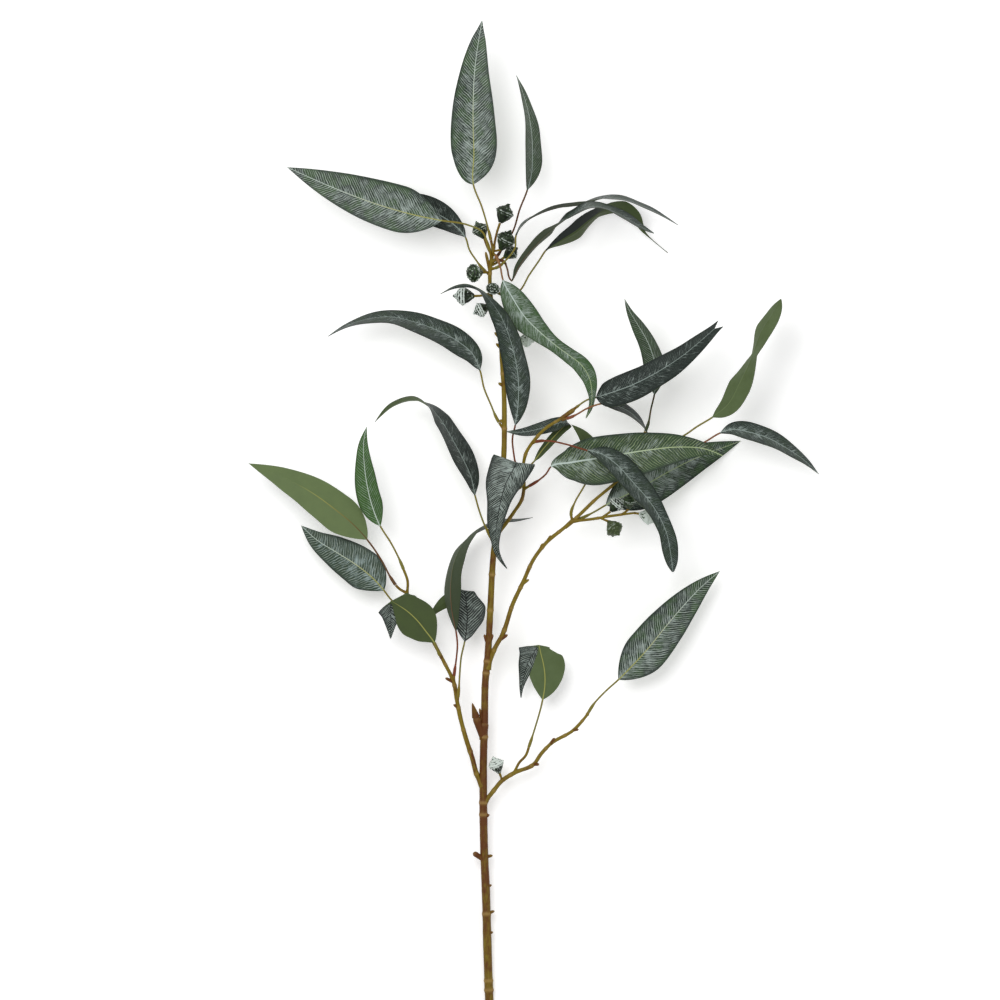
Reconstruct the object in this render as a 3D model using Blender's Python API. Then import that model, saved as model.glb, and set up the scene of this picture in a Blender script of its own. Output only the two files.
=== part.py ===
"""Eucalyptus branch, lying on its back: one wood stem with its side shoots, thirty leaves
on their stalks and fourteen gumnuts.

The tables give millimetres in the branch's own layout: x across, y up along the stem from
its cut end, z above the surface that it lies on. The finished model is in metres, with its
origin under the middle of the whole branch.
"""

import math

import bmesh
import bpy
import numpy as np
from mathutils import Matrix, Vector

MM = 0.001

# Driving dimensions, in millimetres
BRANCH_MIDDLE = (43.6, 499.5)
PIECE_GAP = 0.3
HEEL_LENGTH = 22.0
STEM_SIDES = 8
SHOOT_SIDES = 6
SPUR_SIDES = 5
SHOOT_STEP = 13.0
STEM_STEP = 20.0
RING_SWELL = 1.14
RING_HALF_LENGTH = 1.7
LEAF_THICKNESS = 0.7
RIB_THICKNESS = 1.3
LEAF_FOLD = 0.12
WIDEST_AT = 0.27
STALK_RADIUS = 0.9
SLEEVE_RADIUS = 1.6
SLEEVE_LENGTH = 13.0
NUB_LENGTH = 6.0
NUB_RADIUS = 1.35
TIP_HALF_WIDTH = 0.5
CREASE_STEP = 3.2
CREASE_NEAR = 3.0
CREASE_FAR = 22.0
NUT_STALK_RADII = (1.3, 1.1, 1.3)
GUMNUT_SIDES = 10
GUMNUT_RIB = 0.07

# Main stem: points of its axis, and its radius against the length from the cut end
STEM_ROUTE = [
    (0.1, 0, 4.019), (-0.8, 22, 4.019), (-1.2, 32, 4.9), (-2.4, 67, 7.6), (-4.2, 131, 12),
    (-5.5, 160, 14), (-6.6, 210, 17.5),
    (-6.4, 269, 22), (-5.5, 299, 24), (-4.5, 341, 27), (-2.6, 360, 28.5), (0.3, 410, 32), (3, 460, 36),
    (9, 513, 40), (13.8, 564, 43.5), (14.4, 601, 46), (13.8, 632, 48.5), (12, 658, 50.5), (10, 684, 52.5),
    (6, 700, 54), (1, 724, 56), (0, 749, 58), (4, 774, 60),
]
STEM_RADII = [(0, 4.35), (110, 4.25), (200, 4.0), (310, 3.7), (411, 3.2), (600, 2.6), (690, 2.1),
              (800, 1.8)]
STEM_RINGS = [30, 39.5, 106.5, 206, 218, 284, 348, 360, 411, 447, 594, 649, 688, 751]

# Side shoots: name, points of the axis, radius at the root and at the end
SHOOTS = [
    ("left_branch", [(-7, 234, 19.2), (-12.2, 243, 20), (-18, 263, 22), (-23.6, 280, 24), (-30, 304, 27),
                     (-32.6, 317, 28.5), (-36.4, 338, 31), (-46, 358, 33), (-56, 377, 34),
                     (-68, 398, 35), (-83, 427, 36)], 2.6, 1.5),
    ("low_branch", [(-6.7, 216, 18), (3, 228.5, 18.5), (11.7, 239, 19), (24, 247, 19.5), (44, 256, 20),
                    (51, 266, 20.5), (60.5, 276, 21), (83.5, 290, 22), (97, 305, 23)], 2.4, 1.5),
    ("upper_branch", [(-2.6, 351, 27.9), (5, 372, 31), (12, 384.5, 33), (23, 416.5, 36), (33, 437.7, 39),
                      (44, 461.3, 42), (56, 477, 44), (74, 492, 46), (82.7, 499, 47), (106, 521, 50),
                      (127, 539, 52), (145, 562, 54), (154, 586, 55)], 2.5, 1.3),
    ("middle_twig", [(5.6, 484, 38), (14, 494, 41), (24, 508, 44), (32, 521, 46.5), (34, 534, 48.5),
                     (33, 550, 51), (36.5, 568, 55), (44.5, 580, 58), (56, 592, 60), (70, 600.8, 61),
                     (84, 610.3, 61.5)], 1.9, 1.5),
    ("nut_stalk", [(82.7, 499, 47), (99, 500.5, 51), (121, 504, 54.5), (144, 507, 57)], 1.6, 1.1),
]

# Stubs, spurs and buds that grew with the wood: two points of the axis, radius at root and at end
SPURS = [
    ((-7, 280, 22.7), (-5.8, 298, 24.2), 3.7, 4.9),
    ((-6.8, 282, 23), (-14.4, 304, 28), 3.5, 4.2),
    ((-14.1, 303, 27.7), (-17.8, 317, 31), 4.1, 0.7),
    ((-7.5, 296, 24), (-10.3, 311.5, 28.5), 1.8, 1.2),
    ((-2, 376, 29.5), (-5.9, 385.5, 32), 2.2, 1.2),
    ((-1.2, 376, 29.5), (3, 385.5, 32), 2.2, 1.2),
    ((11, 381, 32.3), (17.5, 385.3, 34.5), 2.0, 1.4),
    ((71, 601.5, 61), (84.5, 610.7, 61.5), 2.0, 2.5),
    ((-5.5, 160, 14), (-16.6, 167.2, 16), 2.5, 2.8),
    ((-5.6, 163, 14.2), (2.6, 164.5, 15.5), 2.0, 1.4),
    ((-4, 133, 12.2), (1.6, 135, 14.5), 1.8, 1.2),
    ((-2.7, 106.5, 10), (4.4, 109, 12.5), 1.8, 1.4),
    ((-2.4, 86, 8.6), (3, 88, 10.5), 1.8, 1.2),
    ((-36.4, 338, 31), (-44.6, 342, 33), 1.8, 1.4),
    ((-31.5, 312, 28), (-36.5, 315.5, 30), 1.7, 1.2),
    ((-14.5, 251, 21), (-19.5, 271, 24.5), 2.0, 1.2),
    ((32.5, 436, 39), (39, 440.5, 41.5), 1.7, 1.2),
    ((57, 478, 44), (60.7, 484.5, 47), 1.7, 1.2),
    ((50, 470, 43), (52.5, 476.5, 46), 1.6, 1.2),
    ((75, 492.5, 46), (84, 500.3, 47.2), 2.0, 2.6),
    ((44, 256, 20), (49, 255.5, 23), 2.0, 1.4),
    ((60.5, 276, 21), (64.5, 282, 24), 1.8, 1.4),
    ((83.5, 290, 22), (88.5, 290.5, 25), 1.7, 1.2),
    ((13.4, 634, 48.7), (8.5, 637, 51), 1.8, 1.4),
    ((10.8, 672, 51.7), (6.2, 676.5, 54), 1.7, 1.4),
    ((14.4, 597, 45.8), (10, 600, 49), 1.8, 1.4),
    ((9, 683, 52.6), (4.6, 687.6, 54.5), 1.7, 1.2),
    ((0, 749, 58), (-4.4, 768, 61), 1.8, 1.4),
    ((-5.2, 203, 17.2), (-0.8, 205.5, 19.5), 2.1, 1.4),
]

# Leaves: stalk from its root on the wood to the blade, blade from its base to its tip, full width
# (or an outline of full widths against the length of the blade), share by which one side is wider
# (one number, or a list of it against the share of the blade's length),
# turn of the blade's upper side about its own line (0 faces up, 180 faces down) along the blade,
# lengths of the wooden nub under the stalk and of the sleeve on it, for a leaf that is folded
# flat onto itself the direction of its crease as seen from above, in degrees from x, and for a leaf
# whose tip is split along its midrib the depth of the notch between its two points
LEAVES = {
    "leaf_crown_top": dict(
        stalk=[(3, 770, 59.7), (-0.5, 786, 61), (-8.3, 813.4, 63)],
        blade=[(-16.6, 835.4, 64), (-16.2, 866, 66), (-17, 900, 67), (-15.2, 951, 66), (-8, 999, 62)],
        outline=[(0, 0), (3, 13), (9.5, 26), (22, 39.5), (34.5, 45.5), (47, 46.5), (60, 44.8), (85, 39.5),
                 (110, 30.5), (135, 20.3), (148, 13.5), (159, 5.5), (166, 1)],
        turn=[(0, 8), (1, -4)], nub=10),
    "leaf_crown_narrow": dict(
        stalk=[(2, 757, 58.6), (8, 765, 50), (15, 775, 43.5), (23.5, 790, 41), (29.5, 810, 42)],
        blade=[(37.3, 830, 43), (41.6, 848, 44), (42.4, 866, 45), (39.5, 901, 46), (33.5, 925, 46),
               (26.4, 944.6, 45)],
        width=28, turn=[(0, 52), (1, 62)], nub=8),
    "leaf_crown_high_arch": dict(
        stalk=[(1, 751, 58.2), (8, 753, 64), (17, 761, 69), (25, 772, 70)],
        blade=[(26, 784.5, 67), (35, 797.5, 62), (51.5, 807, 56), (67, 812, 51), (95, 816, 44),
               (112, 821.5, 42), (129, 821.3, 41), (155, 813, 39), (188, 795, 36)],
        width=30, turn=[(0, -76), (0.4, -78), (0.6, -60), (1, -46)]),
    "leaf_crown_middle_arch": dict(
        stalk=[(2.2, 758.5, 59), (8.5, 760, 61), (14, 758.3, 63.5), (17.3, 751, 65.3), (19.4, 742, 65.5)],
        blade=[(21.4, 739.2, 65.5), (24, 743.5, 65.8), (27.3, 751.3, 66.5), (34.6, 762.4, 68),
               (46.6, 776.1, 70), (61.2, 789.6, 72),
               (73, 798.8, 73), (84.5, 806.5, 73), (97, 813, 72), (112, 812.5, 70), (129, 806, 67),
               (155, 791, 62), (163.9, 786.7, 60)],
        outline=[(0, 0), (8, 9), (25, 18), (50, 24), (80, 26), (110, 28), (130, 29), (150, 24), (167, 12),
                 (181, 1)],
        turn=[(0, -106), (0.34, -107), (0.48, -75), (0.7, -72), (0.85, -62), (1, -52)], segments=18),
    "leaf_crown_low_arch": dict(
        stalk=[(0.5, 733, 56.7), (14, 725, 50), (28, 728, 46), (39.5, 745.5, 45), (49.5, 760, 45)],
        blade=[(56, 769.7, 45), (70.3, 778.7, 44), (86.6, 788.3, 41), (100.5, 800, 36), (112, 808, 31),
               (125, 809, 26), (140, 802, 19), (153.5, 788, 11), (177.7, 767.2, 3)],
        outline=[(0, 0), (8, 10), (20, 22), (40, 31), (60, 27), (80, 20), (96, 15), (106, 9), (114, 4.5),
                 (146, 1)],
        lean=[(0, 0), (0.45, 0), (0.56, 0.6), (0.74, 0.6), (0.84, 0), (1, 0)],
        turn=[(0, -120), (0.25, -124), (0.38, -112), (0.45, -106), (0.57, -118), (0.7, -118), (0.8, -100),
              (1, -84)], nub=8, segments=20),
    "leaf_crown_left": dict(
        stalk=[(1.5, 762, 59.2), (-2, 775, 65.5), (-7.5, 788, 68), (-22, 795, 68)],
        blade=[(-47.8, 799.4, 67), (-73.6, 804.6, 67), (-116.7, 817, 66), (-151, 830, 63),
               (-203, 852.8, 55)],
        width=47, lean=0.1, turn=[(0, -6), (1, 6)], nub=9),
    "leaf_crown_rear": dict(
        stalk=[(0, 745, 57.7), (-8, 752, 53), (-14, 760, 47), (-20.5, 770, 42)],
        blade=[(-24.5, 782.5, 38), (-38, 797, 33), (-57, 808, 26), (-80, 814, 17.5), (-106, 814, 8),
               (-130, 808, 0.426)],
        outline=[(0, 0), (8, 10), (19, 18), (34, 25), (52, 28), (90, 23), (120, 12), (133, 1)],
        turn=[(0, -18), (1, -4)], nub=7),
    "leaf_crown_bent": dict(
        stalk=[(2.8, 766, 59.5), (6, 764, 66), (10, 754, 69.5)],
        blade=[(13, 740, 70), (23, 721.5, 70), (35.5, 702.5, 71), (49.5, 688.5, 73), (68, 673, 77),
               (79, 665, 78.5), (91, 655.6, 78.5), (99.2, 642.6, 75.5), (102, 627, 71), (101, 614, 62),
               (96, 602, 54)],
        outline=[(0, 0), (8, 14), (21, 24), (45, 29.5), (64, 22.5), (87, 16), (104, 16.5), (128, 17.5),
                 (142, 13), (158, 6.5), (172, 4), (184, 1)],
        turn=[(0, 4), (0.55, 30), (0.7, 16), (1, 30)], nub=7, segments=18),
    "leaf_stem_upper_arch": dict(
        stalk=[(14.2, 590, 45.4), (6.5, 602, 46), (1, 615, 46), (-6, 632, 46)],
        blade=[(-10, 649.6, 46), (-17, 665.3, 45.5), (-34, 679.7, 45), (-55.5, 690.7, 44),
               (-77.5, 698.5, 43),
               (-100, 703, 42), (-124, 700.5, 41), (-142.5, 694.5, 39), (-161.8, 683.7, 36)],
        outline=[(0, 0), (6, 12), (14, 22), (28, 31.5), (48, 35), (80, 32), (120, 22), (150, 11), (172, 1)],
        lean=-0.14, turn=[(0, 38), (0.5, 52), (1, 66)], nub=9),
    "leaf_stem_lower_arch": dict(
        stalk=[(4.6, 474, 37), (-1, 486, 37.5), (-6.3, 497, 38), (-10, 507, 38)],
        blade=[(-15, 524.8, 38), (-18.8, 542, 38), (-27.2, 561, 37.5), (-37.4, 580, 37), (-48.2, 598.4, 36),
               (-60, 612.5, 35), (-76, 620.5, 34), (-96, 615.5, 33), (-115, 598, 32)],
        width=33, turn=[(0, 42), (0.5, 58), (0.72, 100), (1, 118)], nub=9, segments=16),
    "leaf_stem_hanging": dict(
        stalk=[(33.6, 545, 50.3), (27, 553, 46.5), (23.5, 568, 46), (22.5, 582, 48)],
        blade=[(25.3, 594.8, 51.5), (28.5, 620, 60), (28.5, 640, 65), (25.5, 660.5, 69), (18.5, 686, 74),
               (9.5, 706.4, 77.5), (-1, 721, 79), (-12, 731.5, 76), (-22, 734.9, 71), (-34, 733.4, 66),
               (-49.4, 726, 61)],
        width=33, turn=[(0, -32), (0.6, -38), (0.78, -76), (1, -84)], nub=6, segments=17),
    "leaf_stem_folded": dict(
        stalk=[(34, 537.5, 49), (31, 533.5, 54), (24.5, 529, 57.5)],
        blade=[(19.5, 532.5, 59.5), (20.5, 543, 60.5), (25.3, 553, 62), (27, 557.6, 65.5),
               (24.5, 553, 70), (15, 534, 71), (9, 510, 69), (6, 488, 65), (7.5, 468, 60),
               (17, 451.5, 55)],
        outline=[(0, 0), (8, 24), (20, 39), (32, 43.5), (55, 37), (76, 24), (96, 17), (116, 8.5),
                 (130, 5), (145, 1)],
        lean=0.14, turn=[(0, 180), (1, 180)], nub=4, segments=20),
    "leaf_twig_curled": dict(
        stalk=[(33.1, 551, 51.2), (36.5, 552, 46), (39.5, 554, 43)],
        blade=[(43.5, 558, 41.5), (53, 570.5, 41), (63.5, 582.5, 41.5), (73, 592.5, 43), (78, 597.5, 46),
               (74, 598, 49), (64.5, 595.5, 51), (50, 591.3, 52), (34, 588, 53), (17, 588.4, 54)],
        outline=[(0, 0), (8, 6), (20, 9), (45, 10), (56, 11), (68, 13.5), (84, 12.5), (100, 8.5), (117, 1)],
        turn=[(0, 150), (0.42, 160), (0.6, 114), (0.8, 110), (1, 104)], nub=5, segments=20),
    "leaf_twig_broad": dict(
        stalk=[(34, 531, 48), (41, 535, 52), (49, 540, 56), (56, 546, 60)],
        blade=[(61, 553.5, 63), (80, 557.5, 66), (102, 561, 68), (128, 565.3, 69.5), (158, 570, 69.5),
               (190, 573, 68), (213, 571.5, 66), (232.7, 564.3, 63)],
        width=49, lean=0.1, turn=[(0, 4), (1, -8)], nub=7),
    "leaf_twig_long": dict(
        stalk=[(42, 577, 57.3), (50, 579, 65), (60, 579, 73), (75, 576, 80)],
        blade=[(97.5, 569.5, 84), (110, 566.5, 86.5), (127, 555, 88), (142.5, 538, 88), (157.5, 521, 85),
               (169, 503.7, 80.5), (176.8, 485.8, 75.5), (180.5, 467, 71), (183, 448, 67)],
        outline=[(0, 0), (8, 15), (20, 28), (38, 35), (70, 33), (85, 26), (96, 20.5), (112, 17),
                 (136, 16.5), (148, 12), (158, 2)],
        turn=[(0, -52), (0.5, -50), (0.78, -14), (1, -8)], nub=6),
    "leaf_twig_dark": dict(
        stalk=[(82.5, 609.7, 61), (88, 614, 60), (97, 620, 59.5)],
        blade=[(106, 622.5, 61), (122, 627.5, 64), (140, 634, 68), (166, 647, 72.5), (191, 663, 75.5),
               (215, 682.7, 77), (230.8, 696.8, 78)],
        outline=[(0, 0), (5, 20), (11, 30.5), (20, 35), (35, 36.5), (58, 34.5), (80, 30.5), (107, 23),
                 (128, 15), (139, 11), (146, 9.5)],
        lean=0.12, notch=8.5, sleeve=3, turn=[(0, -36), (1, -30)], nub=5),
    "leaf_twig_short": dict(
        stalk=[(72, 600.5, 61.2), (80, 602.5, 63.6), (88, 606.3, 65.3), (95.5, 610.8, 66.2),
               (102, 613.6, 66.2)],
        blade=[(111, 616.2, 64.3), (124.7, 614.6, 59.5), (139, 608.2, 53.5), (151, 597, 47.5),
               (158.3, 584.6, 41.5), (163, 571, 38)],
        width=20, sleeve=11, turn=[(0, -40), (1, -66)], nub=5, segments=10),
    "leaf_right_rear": dict(
        stalk=[(82.7, 499, 47), (81, 506, 50), (85, 518, 53), (92.5, 531, 55)],
        blade=[(98, 541, 57), (102.5, 555, 58), (102, 569, 59), (94.5, 583, 59.5), (81.5, 595.5, 60)],
        width=19, turn=[(0, 176), (1, 188)], nub=6, segments=10),
    "leaf_right_low": dict(
        stalk=[(83.5, 499.6, 47), (93, 502.5, 43.5), (104, 508, 41.5)],
        blade=[(116, 515, 40), (139, 526.5, 34.5), (158, 536.5, 29), (180, 549, 21.5), (204, 561, 13),
               (228, 570.5, 5.5), (250.8, 579, 0.344)],
        width=45, turn=[(0, -4), (1, -2)], nub=7),
    "leaf_right_upright": dict(
        stalk=[(153.4, 584, 54.8), (158, 595.4, 55), (161, 611, 51)],
        blade=[(164.4, 625.5, 47.5), (166.8, 644.2, 45), (163.7, 662.2, 45), (158.3, 677.2, 46),
               (148.5, 694.5, 48),
               (139.5, 709.5, 50), (134.6, 721, 51)],
        width=30, turn=[(0, -46), (1, -50)], nub=5, segments=11),
    "leaf_right_twisted": dict(
        stalk=[(150.5, 577, 54.7), (162, 580, 56.5), (190, 582.6, 57), (208, 594, 58)],
        blade=[(222.4, 602.7, 59), (237, 614, 60), (250, 637, 61), (261, 660, 62), (266, 674, 62),
               (272, 689, 62), (281, 703, 61), (291, 721, 59)],
        outline=[(0, 0), (8, 14), (22, 26), (45, 30), (75, 29), (100, 28), (117, 25), (128, 18), (135, 9),
                 (139, 1)],
        turn=[(0, 140), (0.3, 140), (0.55, 103), (0.75, 128), (1, 130)], nub=6, segments=16),
    "leaf_right_outer": dict(
        stalk=[(145, 562, 54), (157, 562.5, 51), (185, 567, 49.5), (214.7, 578, 50)],
        blade=[(230.2, 587, 51), (242, 590.5, 51), (258, 588, 50), (277, 582.3, 47), (294, 573.3, 43),
               (312, 561.3, 37), (328.7, 546, 30)],
        width=27, turn=[(0, -48), (1, -44)], nub=6, segments=12),
    "leaf_left_upright": dict(
        stalk=[(-83, 427, 36), (-82.3, 438, 39), (-86.8, 451.5, 42), (-99, 477, 46)],
        blade=[(-109.7, 494, 48), (-118, 515, 50), (-122.8, 535, 51), (-125.7, 557, 51),
               (-126.2, 578, 50), (-123.2, 593.3, 49)],
        width=28, turn=[(0, -32), (1, -36)], nub=25, segments=11),
    "leaf_left_pale": dict(
        stalk=[(-83, 427, 36), (-91, 431.5, 37), (-99, 442, 37.5), (-107.5, 458, 37.5)],
        blade=[(-123, 480.5, 37), (-138, 496.5, 37), (-155, 510.5, 37), (-181, 529, 36.5),
               (-207, 542.5, 36), (-241.4, 556.6, 34)],
        width=40, turn=[(0, 196), (1, 200)], nub=14),
    "leaf_left_frosted": dict(
        stalk=[(-70, 402, 35.2), (-80, 406, 31), (-92, 414, 28.5), (-99.5, 421, 27.5)],
        blade=[(-106, 429.5, 27), (-117.2, 441.8, 26.5), (-131.6, 453.6, 25.5), (-152.6, 467.1, 24),
               (-173.7, 480.4, 22),
               (-189, 494.6, 20)],
        width=40.5, turn=[(0, 6), (1, 10)], nub=6, segments=11),
    "leaf_left_folded": dict(
        stalk=[(-48.5, 362.5, 33.2), (-51, 366, 38.5), (-53, 371, 42)],
        blade=[(-55.6, 377, 44.5), (-64, 388.5, 46), (-72.6, 399.3, 47), (-83, 409, 47.8), (-92, 415, 48),
               (-96.8, 417.8, 47.6), (-99.2, 418.8, 45.2), (-99.2, 416.2, 42.8), (-99, 410, 42),
               (-99.2, 400, 41), (-99.3, 390, 40), (-99.4, 381.5, 39)],
        outline=[(0, 0), (6, 14), (14, 28), (28, 39.5), (42, 34), (50, 26), (55, 21.5), (59.5, 20),
                 (63, 25.5), (66.5, 28), (70, 25), (76, 19.5), (83, 14), (92, 7), (100.5, 1)],
        lean=[(0, 0), (0.42, 0), (0.5, -0.3), (0.56, -0.66), (0.595, -0.8), (0.625, -0.3), (0.655, 0.05),
              (1, 0)],
        turn=[(0, 180)], crease=211, nub=5, segments=14),
    "leaf_left_slender": dict(
        stalk=[(-36.4, 339, 31), (-35.4, 349, 38), (-33.6, 362, 43), (-32.6, 376, 46)],
        blade=[(-34, 389, 47), (-38, 411, 47), (-39, 434, 45), (-36, 455.8, 41), (-29.7, 471.2, 36),
               (-19.3, 485, 30), (-4, 495, 24), (12, 499.6, 21), (27, 500.3, 20), (42.8, 502.4, 19)],
        width=36, turn=[(0, 120), (0.5, 116), (0.75, 96), (1, 94)], nub=7, segments=17),
    "leaf_left_curled": dict(
        stalk=[(-32.6, 317, 28.6), (-31.8, 324, 33), (-31, 333, 34.6), (-30.2, 347, 34.4),
               (-28.6, 364, 33.4)],
        blade=[(-25.3, 378.4, 32.8), (-23.4, 392, 32.4), (-22.8, 405, 32), (-23.6, 416, 31.8),
               (-24.8, 424, 31.6), (-25.5, 427.6, 31.2), (-26.2, 429.6, 28.8), (-27.8, 428.2, 26.4),
               (-33, 424, 25.8), (-45.3, 417.6, 25), (-55, 409, 23.5), (-60.5, 402, 22.5)],
        outline=[(0, 0), (6, 12), (13, 21), (25, 35), (33, 37.5), (42, 31.5), (48, 27), (52.7, 25), (60, 22),
                 (70, 15), (80, 11), (90, 6), (98.5, 1)],
        lean=[(0, 0), (0.38, 0), (0.475, 0.08), (0.507, -0.12), (0.54, -0.2), (0.62, 0), (1, 0)],
        turn=[(0, 0)], crease=-15, nub=7, segments=14),
    "leaf_low_long": dict(
        stalk=[(97, 305, 23), (103.8, 316, 24.5), (114.4, 327.6, 26)],
        blade=[(128.5, 340.4, 27), (142, 354, 28), (158, 371.5, 28.5), (174.3, 391.7, 28), (193, 413.8, 27),
               (211, 432.8, 25), (230, 449, 22)],
        width=43, turn=[(0, 6), (1, 10)], nub=3),
    "leaf_low_folded": dict(
        stalk=[(24.6, 247.6, 19.5), (29, 257, 22), (35.7, 264.5, 24), (39.5, 275, 25.5), (45, 292, 27)],
        blade=[(52.6, 320, 28), (54.6, 332, 28.5), (54.9, 345, 29), (53, 358, 30), (50.6, 367.5, 30.5),
               (49.6, 372.2, 30.2), (48.6, 374.8, 27.8), (47, 372.6, 25.4), (43.5, 367, 24.8),
               (37.8, 357, 23), (34, 344, 20), (31.5, 332, 17), (31, 322.3, 15)],
        outline=[(0, 0), (6, 13), (16, 27), (27, 35), (40, 29), (48, 19), (54, 12), (57.5, 19), (61, 27),
                 (68, 24.5), (78, 18), (90, 11), (104, 4.5), (115, 1)],
        lean=[(0, 0), (0.22, -0.1), (0.34, -0.4), (0.42, -0.68), (0.475, -0.72), (0.505, -0.05),
              (0.535, 0.28), (0.62, 0.12), (1, 0)],
        turn=[(0, 180)], crease=176, nub=30, segments=15),
}

# Gumnuts: stalk from its root on the wood to the nut's base, the way the nut points, and its width
GUMNUTS = {
    "gumnut_crown_1": ([(4, 773, 59.9), (6.5, 786, 61), (10, 797, 61.5)], (0.45, 1, 0), 18),
    "gumnut_crown_2": ([(3, 769, 59.7), (7.5, 769.5, 62.5), (10.5, 770.3, 63.5)], (0.45, 0.85, 0.2), 19),
    "gumnut_crown_3": ([(1.5, 754.5, 58.4), (8, 758, 54), (14, 762.5, 51.5)], (1, 0.72, -0.2), 14.5),
    "gumnut_crown_4": ([(2.2, 764, 59.3), (-2.3, 772, 54.5), (-5.6, 781.5, 51)], (-0.5, 1, -0.1), 16),
    "gumnut_crown_5": ([(0, 748, 58), (-4.5, 747.5, 61), (-8, 747.5, 62.5)], (-0.75, -0.05, 0.7), 17.5),
    "gumnut_crown_6": ([(0.6, 727, 56.2), (-8, 724.5, 51.5), (-15.5, 724, 48.5)], (-1, 0, -0.12), 18.5),
    "gumnut_crown_7": ([(2.6, 716, 55.4), (1.7, 714.6, 50.5), (-0.8, 714, 47.6)], (-0.85, -0.4, 0.05), 15),
    "gumnut_crown_8": ([(1, 725, 56.2), (1.4, 725.5, 58.5), (1.8, 726, 59.5)], (0.1, 0.45, 0.6), 13.5),
    "gumnut_crown_9": ([(10.2, 683, 52.5), (20, 682, 50), (28, 681, 49)], (1, -0.1, -0.1), 14.5),
    "gumnut_low": ([(12, 239.5, 19), (11, 243, 22), (9.6, 246.8, 23.5)], (-0.4, 1, 0.25), 15.5),
    "gumnut_right_1": ([(110, 502.2, 52.9), (115, 500, 54), (118.5, 498.5, 54.5)], (0.55, -0.7, 0.5), 17),
    "gumnut_right_2": ([(112, 502.5, 53.2), (117, 506, 53.5), (120.5, 508.5, 53.5)], (0.75, 0.9, 0.1), 15),
    "gumnut_right_3": ([(131, 505.2, 55.6), (136, 508.5, 58), (138.5, 511, 59.5)], (0.1, 1, 0.35), 14),
    "gumnut_right_4": ([(144, 507, 57), (147, 506.6, 57.3), (149, 506.2, 57.4)], (1, -0.25, 0.2), 17),
}

# Turned outline of a gumnut: distance from its base and radius, as shares of its width
GUMNUT_OUTLINE = [
    (0.0, 0.12), (0.1, 0.18), (0.3, 0.33), (0.52, 0.44), (0.65, 0.5), (0.72, 0.45),
    (0.86, 0.35), (1.0, 0.16), (1.16, 0.05),
]


def smooth_route(points, step=0.5):
    """Return points every step along a smooth curve through the given ones, and the length at each."""
    knots = np.array(points, float)
    chords = np.linalg.norm(np.diff(knots, axis=0), axis=1)
    slopes = np.diff(knots, axis=0) / chords[:, None]
    tangents = np.zeros_like(knots)
    for i in range(1, len(knots) - 1):
        before, after = chords[i - 1], chords[i]
        tangents[i] = (slopes[i - 1] * after + slopes[i] * before) / (before + after)
    tangents[0] = 1.5 * slopes[0] - 0.5 * tangents[1] if len(knots) > 2 else slopes[0]
    tangents[-1] = 1.5 * slopes[-1] - 0.5 * tangents[-2] if len(knots) > 2 else slopes[-1]
    path = []
    for i, chord in enumerate(chords):
        count = max(2, int(round(chord / step)))
        for u in np.arange(count) / count:
            path.append(
                (2 * u**3 - 3 * u**2 + 1) * knots[i] + (u**3 - 2 * u**2 + u) * chord * tangents[i]
                + (3 * u**2 - 2 * u**3) * knots[i + 1] + (u**3 - u**2) * chord * tangents[i + 1]
            )
    path.append(knots[-1])
    path = np.array(path)
    lengths = np.concatenate([[0], np.cumsum(np.linalg.norm(np.diff(path, axis=0), axis=1))])
    return path, lengths


def along(path, lengths, where):
    """Return the points and unit directions of a route at the given lengths."""
    where = np.asarray(where, float)
    places = np.stack([np.interp(where, lengths, path[:, k]) for k in range(3)], axis=1)
    ahead = np.stack([np.interp(where + 0.4, lengths, path[:, k]) for k in range(3)], axis=1)
    behind = np.stack([np.interp(where - 0.4, lengths, path[:, k]) for k in range(3)], axis=1)
    directions = ahead - behind
    return places, directions / np.linalg.norm(directions, axis=1)[:, None]


def upward(direction):
    """Return the unit vector nearest to straight up that is square to a direction."""
    normal = np.array([0.0, 0.0, 1.0]) - direction[2] * direction
    return normal / np.linalg.norm(normal)


def turned(vector, axis, degrees):
    """Turn a vector about an axis."""
    return np.array(Matrix.Rotation(math.radians(degrees), 3, Vector(axis)) @ Vector(vector))


def carried(places, directions, normal):
    """Carry a normal along a route without spinning it, by double reflection."""
    normals = [normal]
    for i in range(len(places) - 1):
        step = places[i + 1] - places[i]
        half = step @ step
        mirrored = normals[-1] - 2 / half * (step @ normals[-1]) * step
        heading = directions[i] - 2 / half * (step @ directions[i]) * step
        turn = directions[i + 1] - heading
        if turn @ turn > 1e-12:
            mirrored = mirrored - 2 / (turn @ turn) * (turn @ mirrored) * turn
        mirrored = mirrored - (mirrored @ directions[i + 1]) * directions[i + 1]
        normals.append(mirrored / np.linalg.norm(mirrored))
    return normals


def lofted(name, rings):
    """Make one closed mesh from rings of points, split into triangles alike along both faces."""
    count = len(rings[0])
    points = [tuple(p * MM) for ring in rings for p in ring]
    faces = []
    for i in range(len(rings) - 1):
        for k in range(count):
            a = i * count + k
            b = i * count + (k + 1) % count
            c, d = a + count, b + count
            mirrored = k >= count // 2
            faces += [(a, b, c), (b, d, c)] if mirrored else [(a, b, d), (a, d, c)]
    for ring, turn in ((0, -1), (len(rings) - 1, 1)):
        first = ring * count
        for k in range((count - 1) // 2):
            a, b, c, d = first + k, first + k + 1, first + count - 2 - k, first + count - 1 - k
            faces.append((a, b, d)[::turn])
            if b < c:
                faces.append((b, c, d)[::turn])
    mesh = bpy.data.meshes.new(name)
    mesh.from_pydata(points, [], faces)
    tidy = bmesh.new()
    tidy.from_mesh(mesh)
    bmesh.ops.recalc_face_normals(tidy, faces=tidy.faces)
    if tidy.calc_volume(signed=True) < 0:
        bmesh.ops.reverse_faces(tidy, faces=tidy.faces)
    tidy.to_mesh(mesh)
    tidy.free()
    return mesh


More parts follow.
